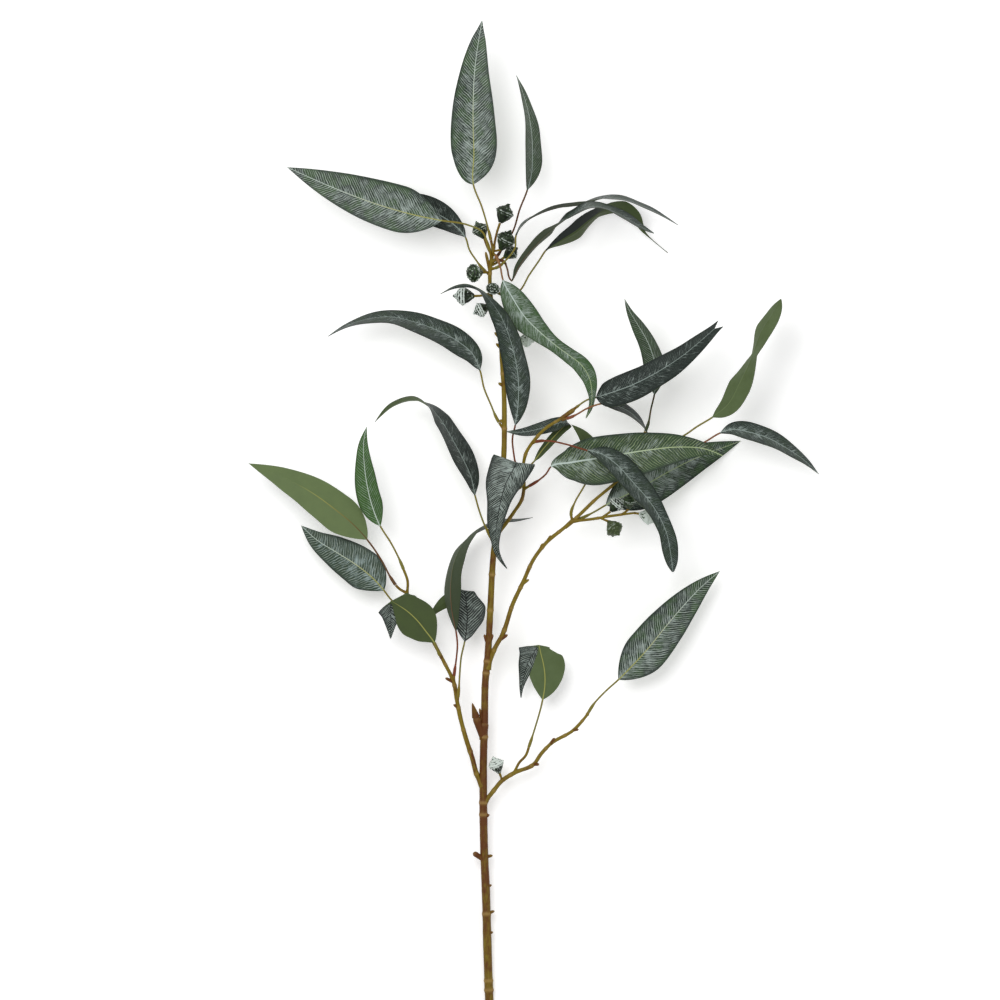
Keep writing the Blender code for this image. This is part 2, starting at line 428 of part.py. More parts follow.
def tube_rings(places, directions, radii, sides):
    """Return the rings of a round tube, with one flat side of it facing straight down."""
    rings = []
    for place, direction, radius in zip(places, directions, radii):
        up = upward(direction)
        side = np.cross(direction, up)
        angles = (np.arange(sides) + 0.5) * 2 * math.pi / sides
        rings.append([place + radius * (math.sin(a) * side + math.cos(a) * up) for a in angles])
    return rings


def stem_mesh():
    """The main stem, with its joint rings and the flat heel that it rests on."""
    path, lengths = smooth_route(STEM_ROUTE)
    stations = {0.0: 1.0, HEEL_LENGTH: 1.0, lengths[-1]: 0.8}
    for ring in STEM_RINGS:
        for step, swell in ((-1, 1.0), (0, RING_SWELL), (1, 1.0)):
            stations[ring + step * RING_HALF_LENGTH] = swell
    for extra in np.arange(2 * STEM_STEP, lengths[-1], STEM_STEP):
        if min(abs(extra - taken) for taken in stations) > 0.4 * STEM_STEP:
            stations[extra] = 1.0
    where = np.array(sorted(stations))
    radii = np.interp(where, *zip(*STEM_RADII)) * [stations[w] for w in where]
    places, directions = along(path, lengths, where)
    heel = where <= HEEL_LENGTH
    places[heel, 2] = STEM_ROUTE[0][2]
    directions[heel, 2] = 0
    directions /= np.linalg.norm(directions, axis=1)[:, None]
    return lofted("stem", tube_rings(places, directions, radii, STEM_SIDES))


def shoot_mesh(name, points, root_radius, end_radius, sides=SHOOT_SIDES):
    """A side shoot, thinning from its root to its end."""
    path, lengths = smooth_route(points)
    where = np.linspace(0, lengths[-1], max(2, int(lengths[-1] / SHOOT_STEP) + 1))
    radii = np.linspace(root_radius, end_radius, len(where))
    places, directions = along(path, lengths, where)
    return lofted(name, tube_rings(places, directions, radii, sides))


def cut_route(points, start, end, step):
    """Return evenly spaced points of a route between two lengths."""
    path, lengths = smooth_route(points)
    where = np.linspace(start, end, max(2, int((end - start) / step) + 1))
    return along(path, lengths, where)


def half_widths(leaf, shares):
    """Half the blade's width at shares of its length, from the leaf's own outline or the common one."""
    if "outline" in leaf:
        curve, _ = smooth_route(leaf["outline"])
        return np.interp(shares, curve[:, 0] / curve[-1, 0], curve[:, 1] / 2)
    shares = np.asarray(shares, float)
    rising = np.sin(math.pi / 2 * np.minimum(shares / WIDEST_AT, 1)) ** 0.8
    falling = 1 - (np.maximum(shares - WIDEST_AT, 0) / (1 - WIDEST_AT)) ** 1.86
    return leaf["width"] / 2 * rising * falling


def lean_at(leaf, share):
    """Share by which one side of a blade is wider than its mean, at a share of its length."""
    lean = leaf.get("lean", 0)
    return np.interp(share, *zip(*lean)) if isinstance(lean, list) else lean


def crease_place(lengths, directions):
    """Length at which a folded route dives most steeply, which is where its leaf is creased."""
    return lengths[np.argmin(directions[:, 2])]


def creased_side(direction, distance, leaf):
    """Way across a folded leaf: level, and turning into the line of its crease near the fold."""
    angle = math.radians(leaf["crease"])
    crease = np.array([math.cos(angle), math.sin(angle), 0.0])
    face = -1 if leaf["turn"][0][1] == 180 else 1
    level = np.array([direction[1], -direction[0], 0.0]) * (face if distance < 0 else -face)
    level /= max(np.linalg.norm(level), 1e-6)
    share = min(max((abs(distance) - CREASE_NEAR) / (CREASE_FAR - CREASE_NEAR), 0), 1)
    side = crease + share * share * (3 - 2 * share) * (level - crease)
    return side / np.linalg.norm(side)


def notch_depth(leaf, remaining, part):
    """How far a point near a forked tip draws back: most on the midrib, not at all on the margin."""
    depth = leaf.get("notch", 0)
    share = max(0.0, 1 - remaining / (2.2 * depth)) if depth else 0.0
    return depth * share * share * (3 - 2 * share) * (1 - part)


def leaf_mesh(name, leaf):
    """A leaf: sleeve, stalk and blade in one closed loft of six-cornered rings."""
    stalk, blade = leaf["stalk"], leaf["blade"]
    path, lengths = smooth_route(stalk + blade)
    knots = np.array(blade[0], float)
    base = lengths[np.argmin(np.linalg.norm(path - knots, axis=1))]
    foot = leaf.get("nub", NUB_LENGTH) + PIECE_GAP
    sleeve = min(leaf.get("sleeve", SLEEVE_LENGTH), 0.45 * (base - foot))
    stalk_stations = [foot, foot + 0.6 * sleeve, foot + sleeve]
    rest = base - foot - sleeve
    stalk_stations += [foot + sleeve + rest * k / 4 for k in range(1, 4)]
    segments = leaf.get("segments", 13)
    eased = [(1 - math.cos(math.pi * k / segments)) / 2 for k in range(segments + 1)]
    shares = [0.45 * eased[k] + 0.55 * k / segments for k in range(segments + 1)]
    if "crease" in leaf:
        blade_lengths = lengths[lengths > base + CREASE_FAR]
        fold = crease_place(blade_lengths, along(path, lengths, blade_lengths)[1])
        at_fold = [(fold + k * CREASE_STEP - base) / (lengths[-1] - base) for k in (-1, 0, 1)]
        clear = 1.7 * CREASE_STEP / (lengths[-1] - base)
        shares = sorted([t for t in shares if abs(t - at_fold[1]) > clear] + at_fold)
    where = np.array(stalk_stations + [base + t * (lengths[-1] - base) for t in shares])
    places, directions = along(path, lengths, where)
    first = len(stalk_stations)
    start = turned(upward(directions[first]), directions[first], leaf["turn"][0][1])
    onward = carried(places[first:], directions[first:], start)
    backward = carried(places[first::-1], -directions[first::-1], start)
    normals = backward[:0:-1] + onward
    halves = half_widths(leaf, shares)
    rings = []
    for i, (place, direction, normal) in enumerate(zip(places, directions, normals)):
        if i < first:
            radius = SLEEVE_RADIUS if i < 2 else STALK_RADIUS
            half, edge, rib, lift = 0.87 * radius, radius, 2 * radius, 0.0
        else:
            t = shares[i - first]
            extra = np.interp(t, *zip(*leaf["turn"])) - leaf["turn"][0][1]
            normal = turned(normal, direction, extra)
            half = max(halves[i - first], TIP_HALF_WIDTH)
            half = max(half, 0.87 * STALK_RADIUS) if t < 0.5 else half
            edge = LEAF_THICKNESS
            rib = 2 * STALK_RADIUS + (RIB_THICKNESS - 2 * STALK_RADIUS) * min(1, t / 0.2)
            rib -= (RIB_THICKNESS - LEAF_THICKNESS) * max(0.0, t - 0.4) / 0.6
            lift = LEAF_FOLD * half
        side = np.cross(direction, normal)
        if "crease" in leaf:
            side = creased_side(direction, where[i] - fold, leaf)
            normal = np.cross(side, direction)
            normal /= np.linalg.norm(normal)
        lean = lean_at(leaf, shares[i - first]) if i > first else 0
        left, right = -half * (1 - lean), half * (1 + lean)
        across = [(left, lift + edge / 2), (0, rib / 2), (right, lift + edge / 2),
                  (right, lift - edge / 2), (0, -rib / 2), (left, lift - edge / 2)]
        remaining = lengths[-1] - where[i]
        rings.append([place + s * side + n * normal
                      - notch_depth(leaf, remaining, 0 if s == 0 else 1) * direction for s, n in across])
    return lofted(name, rings)


def gumnut_mesh(name, points, way, width):
    """A gumnut: a ribbed top shape with a rim and a pointed cap, standing off its stalk's end."""
    axis = np.array(way, float) / np.linalg.norm(way)
    side = np.cross(axis, [0.0, 0.0, 1.0])
    side /= np.linalg.norm(side)
    other = np.cross(axis, side)
    base = np.array(points[-1], float) + PIECE_GAP * axis
    rings = []
    for i, (height, radius) in enumerate(GUMNUT_OUTLINE):
        ring = []
        for k in range(GUMNUT_SIDES):
            ribbed = radius * (1 + GUMNUT_RIB * (-1) ** k * (0 < i < len(GUMNUT_OUTLINE) - 1))
            a = 2 * math.pi * k / GUMNUT_SIDES
            ring.append(base + width * (height * axis + ribbed * (math.cos(a) * side + math.sin(a) * other)))
        rings.append(ring)
    return lofted(name, rings)


def nut_stalk_mesh(name, points, way):
    """The short stalk under a gumnut, ending square to the way that the nut points."""
    path, lengths = smooth_route(points)
    where = np.linspace(0, lengths[-1], 3)
    places, directions = along(path, lengths, where)
    directions[-1] = np.array(way, float) / np.linalg.norm(way)
    return lofted(name, tube_rings(places, directions, NUT_STALK_RADII, SPUR_SIDES))


def material(name, colour, roughness):
    """A plain Principled material."""
    made = bpy.data.materials.new(name)
    made.use_nodes = True
    shader = made.node_tree.nodes["Principled BSDF"]
    shader.inputs["Base Color"].default_value = (*colour, 1)
    shader.inputs["Roughness"].default_value = roughness
    shader.inputs["Metallic"].default_value = 0.0
    made.diffuse_color = (*colour, 1)
    return made


def add(mesh, finish, parent, smooth_angle=40):
    """Put a mesh in the scene as one named sub-part of the branch."""
    mesh.shade_smooth()
    mesh.set_sharp_from_angle(angle=math.radians(smooth_angle))
    mesh.materials.append(finish)
    piece = bpy.data.objects.new(mesh.name, mesh)
    bpy.context.scene.collection.objects.link(piece)
    piece.parent = parent
    return piece


def wood_meshes():
    """Everything that grew as one with the main stem, as separate closed shapes."""
    meshes = [shoot_mesh(name, points, root, end) for name, points, root, end in SHOOTS]
    for number, (root, end, root_radius, end_radius) in enumerate(SPURS):
        meshes.append(shoot_mesh(f"spur_{number}", [root, end], root_radius, end_radius, SPUR_SIDES))
    for name, leaf in LEAVES.items():
        nub = leaf.get("nub", NUB_LENGTH)
        places, directions = cut_route(leaf["stalk"] + leaf["blade"][:1], 0, nub, 5)
        radii = [NUB_RADIUS] * len(places)
        meshes.append(lofted(f"nub_{name}", tube_rings(places, directions, radii, SPUR_SIDES)))
    for name, (points, way, _) in GUMNUTS.items():
        meshes.append(nut_stalk_mesh(f"stalk_{name}", points, way))
    return meshes


def grown_together(mesh, others):
    """Join a mesh with others into one body by a union with a collection of them."""
    body = bpy.data.objects.new(mesh.name, mesh)
    bpy.context.scene.collection.objects.link(body)
    shoots = bpy.data.collections.new("shoots")
    bpy.context.scene.collection.children.link(shoots)
    for other in others:
        shoots.objects.link(bpy.data.objects.new(other.name, other))
    union = body.modifiers.new("grown_together", "BOOLEAN")
    union.operation = "UNION"
    union.operand_type = "COLLECTION"
    union.collection = shoots
    union.solver = "EXACT"
    depsgraph = bpy.context.evaluated_depsgraph_get()
    joined = bpy.data.meshes.new_from_object(body.evaluated_get(depsgraph))
    for piece in [*shoots.objects, body]:
        bpy.data.objects.remove(piece)
    bpy.data.collections.remove(shoots)
    bpy.data.meshes.remove(mesh)
    joined.name = "stem"
    return joined


def build():
    """Model the whole branch."""
    for piece in list(bpy.data.objects):
        bpy.data.objects.remove(piece)
    branch = bpy.data.objects.new("branch", None)
    bpy.context.scene.collection.objects.link(branch)
    branch.location = (-BRANCH_MIDDLE[0] * MM, -BRANCH_MIDDLE[1] * MM, 0)
    wood = material("wood", (0.20, 0.13, 0.035), 0.6)
    leaf_green = material("leaf_green", (0.055, 0.10, 0.06), 0.55)
    nut_green = material("nut_green", (0.04, 0.06, 0.04), 0.5)
    add(grown_together(stem_mesh(), wood_meshes()), wood, branch)
    for name, leaf in LEAVES.items():
        add(leaf_mesh(name, leaf), leaf_green, branch)
    for name, (points, way, width) in GUMNUTS.items():
        add(gumnut_mesh(name, points, way, width), nut_green, branch, 50)


build()
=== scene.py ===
"""Looks of a eucalyptus branch that lies on a pale floor, seen from straight above.

The route and width tables give millimetres in the branch's own layout: x across, y up along the
stem from its cut end, z above the floor. Every finished mesh is in metres, where the solids are.
"""

import math

import bmesh
import bpy
import numpy as np
from mathutils import Matrix, Vector


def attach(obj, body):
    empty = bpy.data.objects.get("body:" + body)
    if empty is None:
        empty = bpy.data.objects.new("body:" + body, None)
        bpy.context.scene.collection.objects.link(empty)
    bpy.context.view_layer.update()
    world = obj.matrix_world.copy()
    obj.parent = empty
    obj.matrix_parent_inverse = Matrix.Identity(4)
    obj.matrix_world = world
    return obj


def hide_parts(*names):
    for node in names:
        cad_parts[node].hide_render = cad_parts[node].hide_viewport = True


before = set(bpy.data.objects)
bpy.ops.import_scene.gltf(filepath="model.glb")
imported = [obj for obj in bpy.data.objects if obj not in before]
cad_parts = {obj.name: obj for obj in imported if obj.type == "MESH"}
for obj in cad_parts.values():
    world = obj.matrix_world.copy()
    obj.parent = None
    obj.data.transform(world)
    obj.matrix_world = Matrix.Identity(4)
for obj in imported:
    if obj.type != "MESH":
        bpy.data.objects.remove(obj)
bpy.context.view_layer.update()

# Sizes that the solids have too, in millimetres
MM = 0.001
BRANCH_MIDDLE = (43.6, 499.5)
PIECE_GAP = 0.3
HEEL_LENGTH = 22.0
LEAF_FOLD = 0.12
WIDEST_AT = 0.27
STALK_RADIUS = 0.9
SLEEVE_RADIUS = 1.6
SLEEVE_LENGTH = 13.0
NUB_LENGTH = 6.0
NUB_RADIUS = 1.35
TIP_HALF_WIDTH = 0.5
CREASE_NEAR = 3.0
CREASE_FAR = 22.0
NUT_STALK_RADII = (1.3, 1.1, 1.3)

# Main stem: points of its axis, and its radius against the length from the cut end
STEM_ROUTE = [
    (0.1, 0, 4.019), (-0.8, 22, 4.019), (-1.2, 32, 4.9), (-2.4, 67, 7.6), (-4.2, 131, 12),
    (-5.5, 160, 14), (-6.6, 210, 17.5),
    (-6.4, 269, 22), (-5.5, 299, 24), (-4.5, 341, 27), (-2.6, 360, 28.5), (0.3, 410, 32), (3, 460, 36),
    (9, 513, 40), (13.8, 564, 43.5), (14.4, 601, 46), (13.8, 632, 48.5), (12, 658, 50.5), (10, 684, 52.5),
    (6, 700, 54), (1, 724, 56), (0, 749, 58), (4, 774, 60),
]
STEM_RADII = [(0, 4.35), (110, 4.25), (200, 4.0), (310, 3.7), (411, 3.2), (600, 2.6), (690, 2.1),
              (800, 1.8)]
STEM_RINGS = [30, 39.5, 106.5, 206, 218, 284, 348, 360, 411, 447, 594, 649, 688, 751]

# Side shoots: name, points of the axis, radius at the root and at the end
SHOOTS = [
    ("left_branch", [(-7, 234, 19.2), (-12.2, 243, 20), (-18, 263, 22), (-23.6, 280, 24), (-30, 304, 27),
                     (-32.6, 317, 28.5), (-36.4, 338, 31), (-46, 358, 33), (-56, 377, 34),
                     (-68, 398, 35), (-83, 427, 36)], 2.6, 1.5),
    ("low_branch", [(-6.7, 216, 18), (3, 228.5, 18.5), (11.7, 239, 19), (24, 247, 19.5), (44, 256, 20),
                    (51, 266, 20.5), (60.5, 276, 21), (83.5, 290, 22), (97, 305, 23)], 2.4, 1.5),
    ("upper_branch", [(-2.6, 351, 27.9), (5, 372, 31), (12, 384.5, 33), (23, 416.5, 36), (33, 437.7, 39),
                      (44, 461.3, 42), (56, 477, 44), (74, 492, 46), (82.7, 499, 47), (106, 521, 50),
                      (127, 539, 52), (145, 562, 54), (154, 586, 55)], 2.5, 1.3),
    ("middle_twig", [(5.6, 484, 38), (14, 494, 41), (24, 508, 44), (32, 521, 46.5), (34, 534, 48.5),
                     (33, 550, 51), (36.5, 568, 55), (44.5, 580, 58), (56, 592, 60), (70, 600.8, 61),
                     (84, 610.3, 61.5)], 1.9, 1.5),
    ("nut_stalk", [(82.7, 499, 47), (99, 500.5, 51), (121, 504, 54.5), (144, 507, 57)], 1.6, 1.1),
]

# Stubs, spurs and buds that grew with the wood: two points of the axis, radius at root and at end
SPURS = [
    ((-7, 280, 22.7), (-5.8, 298, 24.2), 3.7, 4.9),
    ((-6.8, 282, 23), (-14.4, 304, 28), 3.5, 4.2),
    ((-14.1, 303, 27.7), (-17.8, 317, 31), 4.1, 0.7),
    ((-7.5, 296, 24), (-10.3, 311.5, 28.5), 1.8, 1.2),
    ((-2, 376, 29.5), (-5.9, 385.5, 32), 2.2, 1.2),
    ((-1.2, 376, 29.5), (3, 385.5, 32), 2.2, 1.2),
    ((11, 381, 32.3), (17.5, 385.3, 34.5), 2.0, 1.4),
    ((71, 601.5, 61), (84.5, 610.7, 61.5), 2.0, 2.5),
    ((-5.5, 160, 14), (-16.6, 167.2, 16), 2.5, 2.8),
    ((-5.6, 163, 14.2), (2.6, 164.5, 15.5), 2.0, 1.4),
    ((-4, 133, 12.2), (1.6, 135, 14.5), 1.8, 1.2),
    ((-2.7, 106.5, 10), (4.4, 109, 12.5), 1.8, 1.4),
    ((-2.4, 86, 8.6), (3, 88, 10.5), 1.8, 1.2),
    ((-36.4, 338, 31), (-44.6, 342, 33), 1.8, 1.4),
    ((-31.5, 312, 28), (-36.5, 315.5, 30), 1.7, 1.2),
    ((-14.5, 251, 21), (-19.5, 271, 24.5), 2.0, 1.2),
    ((32.5, 436, 39), (39, 440.5, 41.5), 1.7, 1.2),
    ((57, 478, 44), (60.7, 484.5, 47), 1.7, 1.2),
    ((50, 470, 43), (52.5, 476.5, 46), 1.6, 1.2),
    ((75, 492.5, 46), (84, 500.3, 47.2), 2.0, 2.6),
    ((44, 256, 20), (49, 255.5, 23), 2.0, 1.4),
    ((60.5, 276, 21), (64.5, 282, 24), 1.8, 1.4),
    ((83.5, 290, 22), (88.5, 290.5, 25), 1.7, 1.2),
    ((13.4, 634, 48.7), (8.5, 637, 51), 1.8, 1.4),
    ((10.8, 672, 51.7), (6.2, 676.5, 54), 1.7, 1.4),
    ((14.4, 597, 45.8), (10, 600, 49), 1.8, 1.4),
    ((9, 683, 52.6), (4.6, 687.6, 54.5), 1.7, 1.2),
    ((0, 749, 58), (-4.4, 768, 61), 1.8, 1.4),
    ((-5.2, 203, 17.2), (-0.8, 205.5, 19.5), 2.1, 1.4),
]

# Leaves: stalk from its root on the wood to the blade, blade from its base to its tip, full width
# (or an outline of full widths against the length of the blade), share by which one side is wider
# (one number, or a list of it against the share of the blade's length),
# turn of the blade's upper side about its own line (0 faces up, 180 faces down) along the blade,
# lengths of the wooden nub under the stalk and of the sleeve on it, for a leaf that is folded
# flat onto itself the direction of its crease as seen from above, in degrees from x, and for a leaf
# whose tip is split along its midrib the depth of the notch between its two points
LEAVES = {
    "leaf_crown_top": dict(
        stalk=[(3, 770, 59.7), (-0.5, 786, 61), (-8.3, 813.4, 63)],
        blade=[(-16.6, 835.4, 64), (-16.2, 866, 66), (-17, 900, 67), (-15.2, 951, 66), (-8, 999, 62)],
        outline=[(0, 0), (3, 13), (9.5, 26), (22, 39.5), (34.5, 45.5), (47, 46.5), (60, 44.8), (85, 39.5),
                 (110, 30.5), (135, 20.3), (148, 13.5), (159, 5.5), (166, 1)],
        turn=[(0, 8), (1, -4)], nub=10),
    "leaf_crown_narrow": dict(
        stalk=[(2, 757, 58.6), (8, 765, 50), (15, 775, 43.5), (23.5, 790, 41), (29.5, 810, 42)],
        blade=[(37.3, 830, 43), (41.6, 848, 44), (42.4, 866, 45), (39.5, 901, 46), (33.5, 925, 46),
               (26.4, 944.6, 45)],
        width=28, turn=[(0, 52), (1, 62)], nub=8),
    "leaf_crown_high_arch": dict(
        stalk=[(1, 751, 58.2), (8, 753, 64), (17, 761, 69), (25, 772, 70)],
        blade=[(26, 784.5, 67), (35, 797.5, 62), (51.5, 807, 56), (67, 812, 51), (95, 816, 44),
               (112, 821.5, 42), (129, 821.3, 41), (155, 813, 39), (188, 795, 36)],
        width=30, turn=[(0, -76), (0.4, -78), (0.6, -60), (1, -46)]),
    "leaf_crown_middle_arch": dict(
        stalk=[(2.2, 758.5, 59), (8.5, 760, 61), (14, 758.3, 63.5), (17.3, 751, 65.3), (19.4, 742, 65.5)],
        blade=[(21.4, 739.2, 65.5), (24, 743.5, 65.8), (27.3, 751.3, 66.5), (34.6, 762.4, 68),
               (46.6, 776.1, 70), (61.2, 789.6, 72),
               (73, 798.8, 73), (84.5, 806.5, 73), (97, 813, 72), (112, 812.5, 70), (129, 806, 67),
               (155, 791, 62), (163.9, 786.7, 60)],
        outline=[(0, 0), (8, 9), (25, 18), (50, 24), (80, 26), (110, 28), (130, 29), (150, 24), (167, 12),
                 (181, 1)],
        turn=[(0, -106), (0.34, -107), (0.48, -75), (0.7, -72), (0.85, -62), (1, -52)]),
    "leaf_crown_low_arch": dict(
        stalk=[(0.5, 733, 56.7), (14, 725, 50), (28, 728, 46), (39.5, 745.5, 45), (49.5, 760, 45)],
        blade=[(56, 769.7, 45), (70.3, 778.7, 44), (86.6, 788.3, 41), (100.5, 800, 36), (112, 808, 31),
               (125, 809, 26), (140, 802, 19), (153.5, 788, 11), (177.7, 767.2, 3)],
        outline=[(0, 0), (8, 10), (20, 22), (40, 31), (60, 27), (80, 20), (96, 15), (106, 9), (114, 4.5),
                 (146, 1)],
        lean=[(0, 0), (0.45, 0), (0.56, 0.6), (0.74, 0.6), (0.84, 0), (1, 0)],
        turn=[(0, -120), (0.25, -124), (0.38, -112), (0.45, -106), (0.57, -118), (0.7, -118), (0.8, -100),
              (1, -84)], nub=8),
    "leaf_crown_left": dict(
        stalk=[(1.5, 762, 59.2), (-2, 775, 65.5), (-7.5, 788, 68), (-22, 795, 68)],
        blade=[(-47.8, 799.4, 67), (-73.6, 804.6, 67), (-116.7, 817, 66), (-151, 830, 63),
               (-203, 852.8, 55)],
        width=47, lean=0.1, turn=[(0, -6), (1, 6)], nub=9),
    "leaf_crown_rear": dict(
        stalk=[(0, 745, 57.7), (-8, 752, 53), (-14, 760, 47), (-20.5, 770, 42)],
        blade=[(-24.5, 782.5, 38), (-38, 797, 33), (-57, 808, 26), (-80, 814, 17.5), (-106, 814, 8),
               (-130, 808, 0.426)],
        outline=[(0, 0), (8, 10), (19, 18), (34, 25), (52, 28), (90, 23), (120, 12), (133, 1)],
        turn=[(0, -18), (1, -4)], nub=7),
    "leaf_crown_bent": dict(
        stalk=[(2.8, 766, 59.5), (6, 764, 66), (10, 754, 69.5)],
        blade=[(13, 740, 70), (23, 721.5, 70), (35.5, 702.5, 71), (49.5, 688.5, 73), (68, 673, 77),
               (79, 665, 78.5), (91, 655.6, 78.5), (99.2, 642.6, 75.5), (102, 627, 71), (101, 614, 62),
               (96, 602, 54)],
        outline=[(0, 0), (8, 14), (21, 24), (45, 29.5), (64, 22.5), (87, 16), (104, 16.5), (128, 17.5),
                 (142, 13), (158, 6.5), (172, 4), (184, 1)],
        turn=[(0, 4), (0.55, 30), (0.7, 16), (1, 30)], nub=7),
    "leaf_stem_upper_arch": dict(
        stalk=[(14.2, 590, 45.4), (6.5, 602, 46), (1, 615, 46), (-6, 632, 46)],
        blade=[(-10, 649.6, 46), (-17, 665.3, 45.5), (-34, 679.7, 45), (-55.5, 690.7, 44),
               (-77.5, 698.5, 43),
               (-100, 703, 42), (-124, 700.5, 41), (-142.5, 694.5, 39), (-161.8, 683.7, 36)],
        outline=[(0, 0), (6, 12), (14, 22), (28, 31.5), (48, 35), (80, 32), (120, 22), (150, 11), (172, 1)],
        lean=-0.14, turn=[(0, 38), (0.5, 52), (1, 66)], nub=9),
    "leaf_stem_lower_arch": dict(
        stalk=[(4.6, 474, 37), (-1, 486, 37.5), (-6.3, 497, 38), (-10, 507, 38)],
        blade=[(-15, 524.8, 38), (-18.8, 542, 38), (-27.2, 561, 37.5), (-37.4, 580, 37), (-48.2, 598.4, 36),
               (-60, 612.5, 35), (-76, 620.5, 34), (-96, 615.5, 33), (-115, 598, 32)],
        width=33, turn=[(0, 42), (0.5, 58), (0.72, 100), (1, 118)], nub=9),
    "leaf_stem_hanging": dict(
        stalk=[(33.6, 545, 50.3), (27, 553, 46.5), (23.5, 568, 46), (22.5, 582, 48)],
        blade=[(25.3, 594.8, 51.5), (28.5, 620, 60), (28.5, 640, 65), (25.5, 660.5, 69), (18.5, 686, 74),
               (9.5, 706.4, 77.5), (-1, 721, 79), (-12, 731.5, 76), (-22, 734.9, 71), (-34, 733.4, 66),
               (-49.4, 726, 61)],
        width=33, turn=[(0, -32), (0.6, -38), (0.78, -76), (1, -84)], nub=6),
    "leaf_stem_folded": dict(
        stalk=[(34, 537.5, 49), (31, 533.5, 54), (24.5, 529, 57.5)],
        blade=[(19.5, 532.5, 59.5), (20.5, 543, 60.5), (25.3, 553, 62), (27, 557.6, 65.5),
               (24.5, 553, 70), (15, 534, 71), (9, 510, 69), (6, 488, 65), (7.5, 468, 60),
               (17, 451.5, 55)],
        outline=[(0, 0), (8, 24), (20, 39), (32, 43.5), (55, 37), (76, 24), (96, 17), (116, 8.5),
                 (130, 5), (145, 1)],
        lean=0.14, turn=[(0, 180), (1, 180)], nub=4),
    "leaf_twig_curled": dict(
        stalk=[(33.1, 551, 51.2), (36.5, 552, 46), (39.5, 554, 43)],
        blade=[(43.5, 558, 41.5), (53, 570.5, 41), (63.5, 582.5, 41.5), (73, 592.5, 43), (78, 597.5, 46),
               (74, 598, 49), (64.5, 595.5, 51), (50, 591.3, 52), (34, 588, 53), (17, 588.4, 54)],
        outline=[(0, 0), (8, 6), (20, 9), (45, 10), (56, 11), (68, 13.5), (84, 12.5), (100, 8.5), (117, 1)],
        turn=[(0, 150), (0.42, 160), (0.6, 114), (0.8, 110), (1, 104)], nub=5),
    "leaf_twig_broad": dict(
        stalk=[(34, 531, 48), (41, 535, 52), (49, 540, 56), (56, 546, 60)],
        blade=[(61, 553.5, 63), (80, 557.5, 66), (102, 561, 68), (128, 565.3, 69.5), (158, 570, 69.5),
               (190, 573, 68), (213, 571.5, 66), (232.7, 564.3, 63)],
        width=49, lean=0.1, turn=[(0, 4), (1, -8)], nub=7),
    "leaf_twig_long": dict(
        stalk=[(42, 577, 57.3), (50, 579, 65), (60, 579, 73), (75, 576, 80)],
        blade=[(97.5, 569.5, 84), (110, 566.5, 86.5), (127, 555, 88), (142.5, 538, 88), (157.5, 521, 85),
               (169, 503.7, 80.5), (176.8, 485.8, 75.5), (180.5, 467, 71), (183, 448, 67)],
        outline=[(0, 0), (8, 15), (20, 28), (38, 35), (70, 33), (85, 26), (96, 20.5), (112, 17),
                 (136, 16.5), (148, 12), (158, 2)],
        turn=[(0, -52), (0.5, -50), (0.78, -14), (1, -8)], nub=6),
    "leaf_twig_dark": dict(
        stalk=[(82.5, 609.7, 61), (88, 614, 60), (97, 620, 59.5)],
        blade=[(106, 622.5, 61), (122, 627.5, 64), (140, 634, 68), (166, 647, 72.5), (191, 663, 75.5),
               (215, 682.7, 77), (230.8, 696.8, 78)],
        outline=[(0, 0), (5, 20), (11, 30.5), (20, 35), (35, 36.5), (58, 34.5), (80, 30.5), (107, 23),
                 (128, 15), (139, 11), (146, 9.5)],
        lean=0.12, notch=8.5, sleeve=3, turn=[(0, -36), (1, -30)], nub=5),
    "leaf_twig_short": dict(
        stalk=[(72, 600.5, 61.2), (80, 602.5, 63.6), (88, 606.3, 65.3), (95.5, 610.8, 66.2),
               (102, 613.6, 66.2)],
        blade=[(111, 616.2, 64.3), (124.7, 614.6, 59.5), (139, 608.2, 53.5), (151, 597, 47.5),
               (158.3, 584.6, 41.5), (163, 571, 38)],
        width=20, sleeve=11, turn=[(0, -40), (1, -66)], nub=5),
    "leaf_right_rear": dict(
        stalk=[(82.7, 499, 47), (81, 506, 50), (85, 518, 53), (92.5, 531, 55)],
        blade=[(98, 541, 57), (102.5, 555, 58), (102, 569, 59), (94.5, 583, 59.5), (81.5, 595.5, 60)],
        width=19, turn=[(0, 176), (1, 188)], nub=6),
    "leaf_right_low": dict(
        stalk=[(83.5, 499.6, 47), (93, 502.5, 43.5), (104, 508, 41.5)],
        blade=[(116, 515, 40), (139, 526.5, 34.5), (158, 536.5, 29), (180, 549, 21.5), (204, 561, 13),
               (228, 570.5, 5.5), (250.8, 579, 0.344)],
        width=45, turn=[(0, -4), (1, -2)], nub=7),
    "leaf_right_upright": dict(
        stalk=[(153.4, 584, 54.8), (158, 595.4, 55), (161, 611, 51)],
        blade=[(164.4, 625.5, 47.5), (166.8, 644.2, 45), (163.7, 662.2, 45), (158.3, 677.2, 46),
               (148.5, 694.5, 48),
               (139.5, 709.5, 50), (134.6, 721, 51)],
        width=30, turn=[(0, -46), (1, -50)], nub=5),
    "leaf_right_twisted": dict(
        stalk=[(150.5, 577, 54.7), (162, 580, 56.5), (190, 582.6, 57), (208, 594, 58)],
        blade=[(222.4, 602.7, 59), (237, 614, 60), (250, 637, 61), (261, 660, 62), (266, 674, 62),
               (272, 689, 62), (281, 703, 61), (291, 721, 59)],
        outline=[(0, 0), (8, 14), (22, 26), (45, 30), (75, 29), (100, 28), (117, 25), (128, 18), (135, 9),
                 (139, 1)],
        turn=[(0, 140), (0.3, 140), (0.55, 103), (0.75, 128), (1, 130)], nub=6),
    "leaf_right_outer": dict(
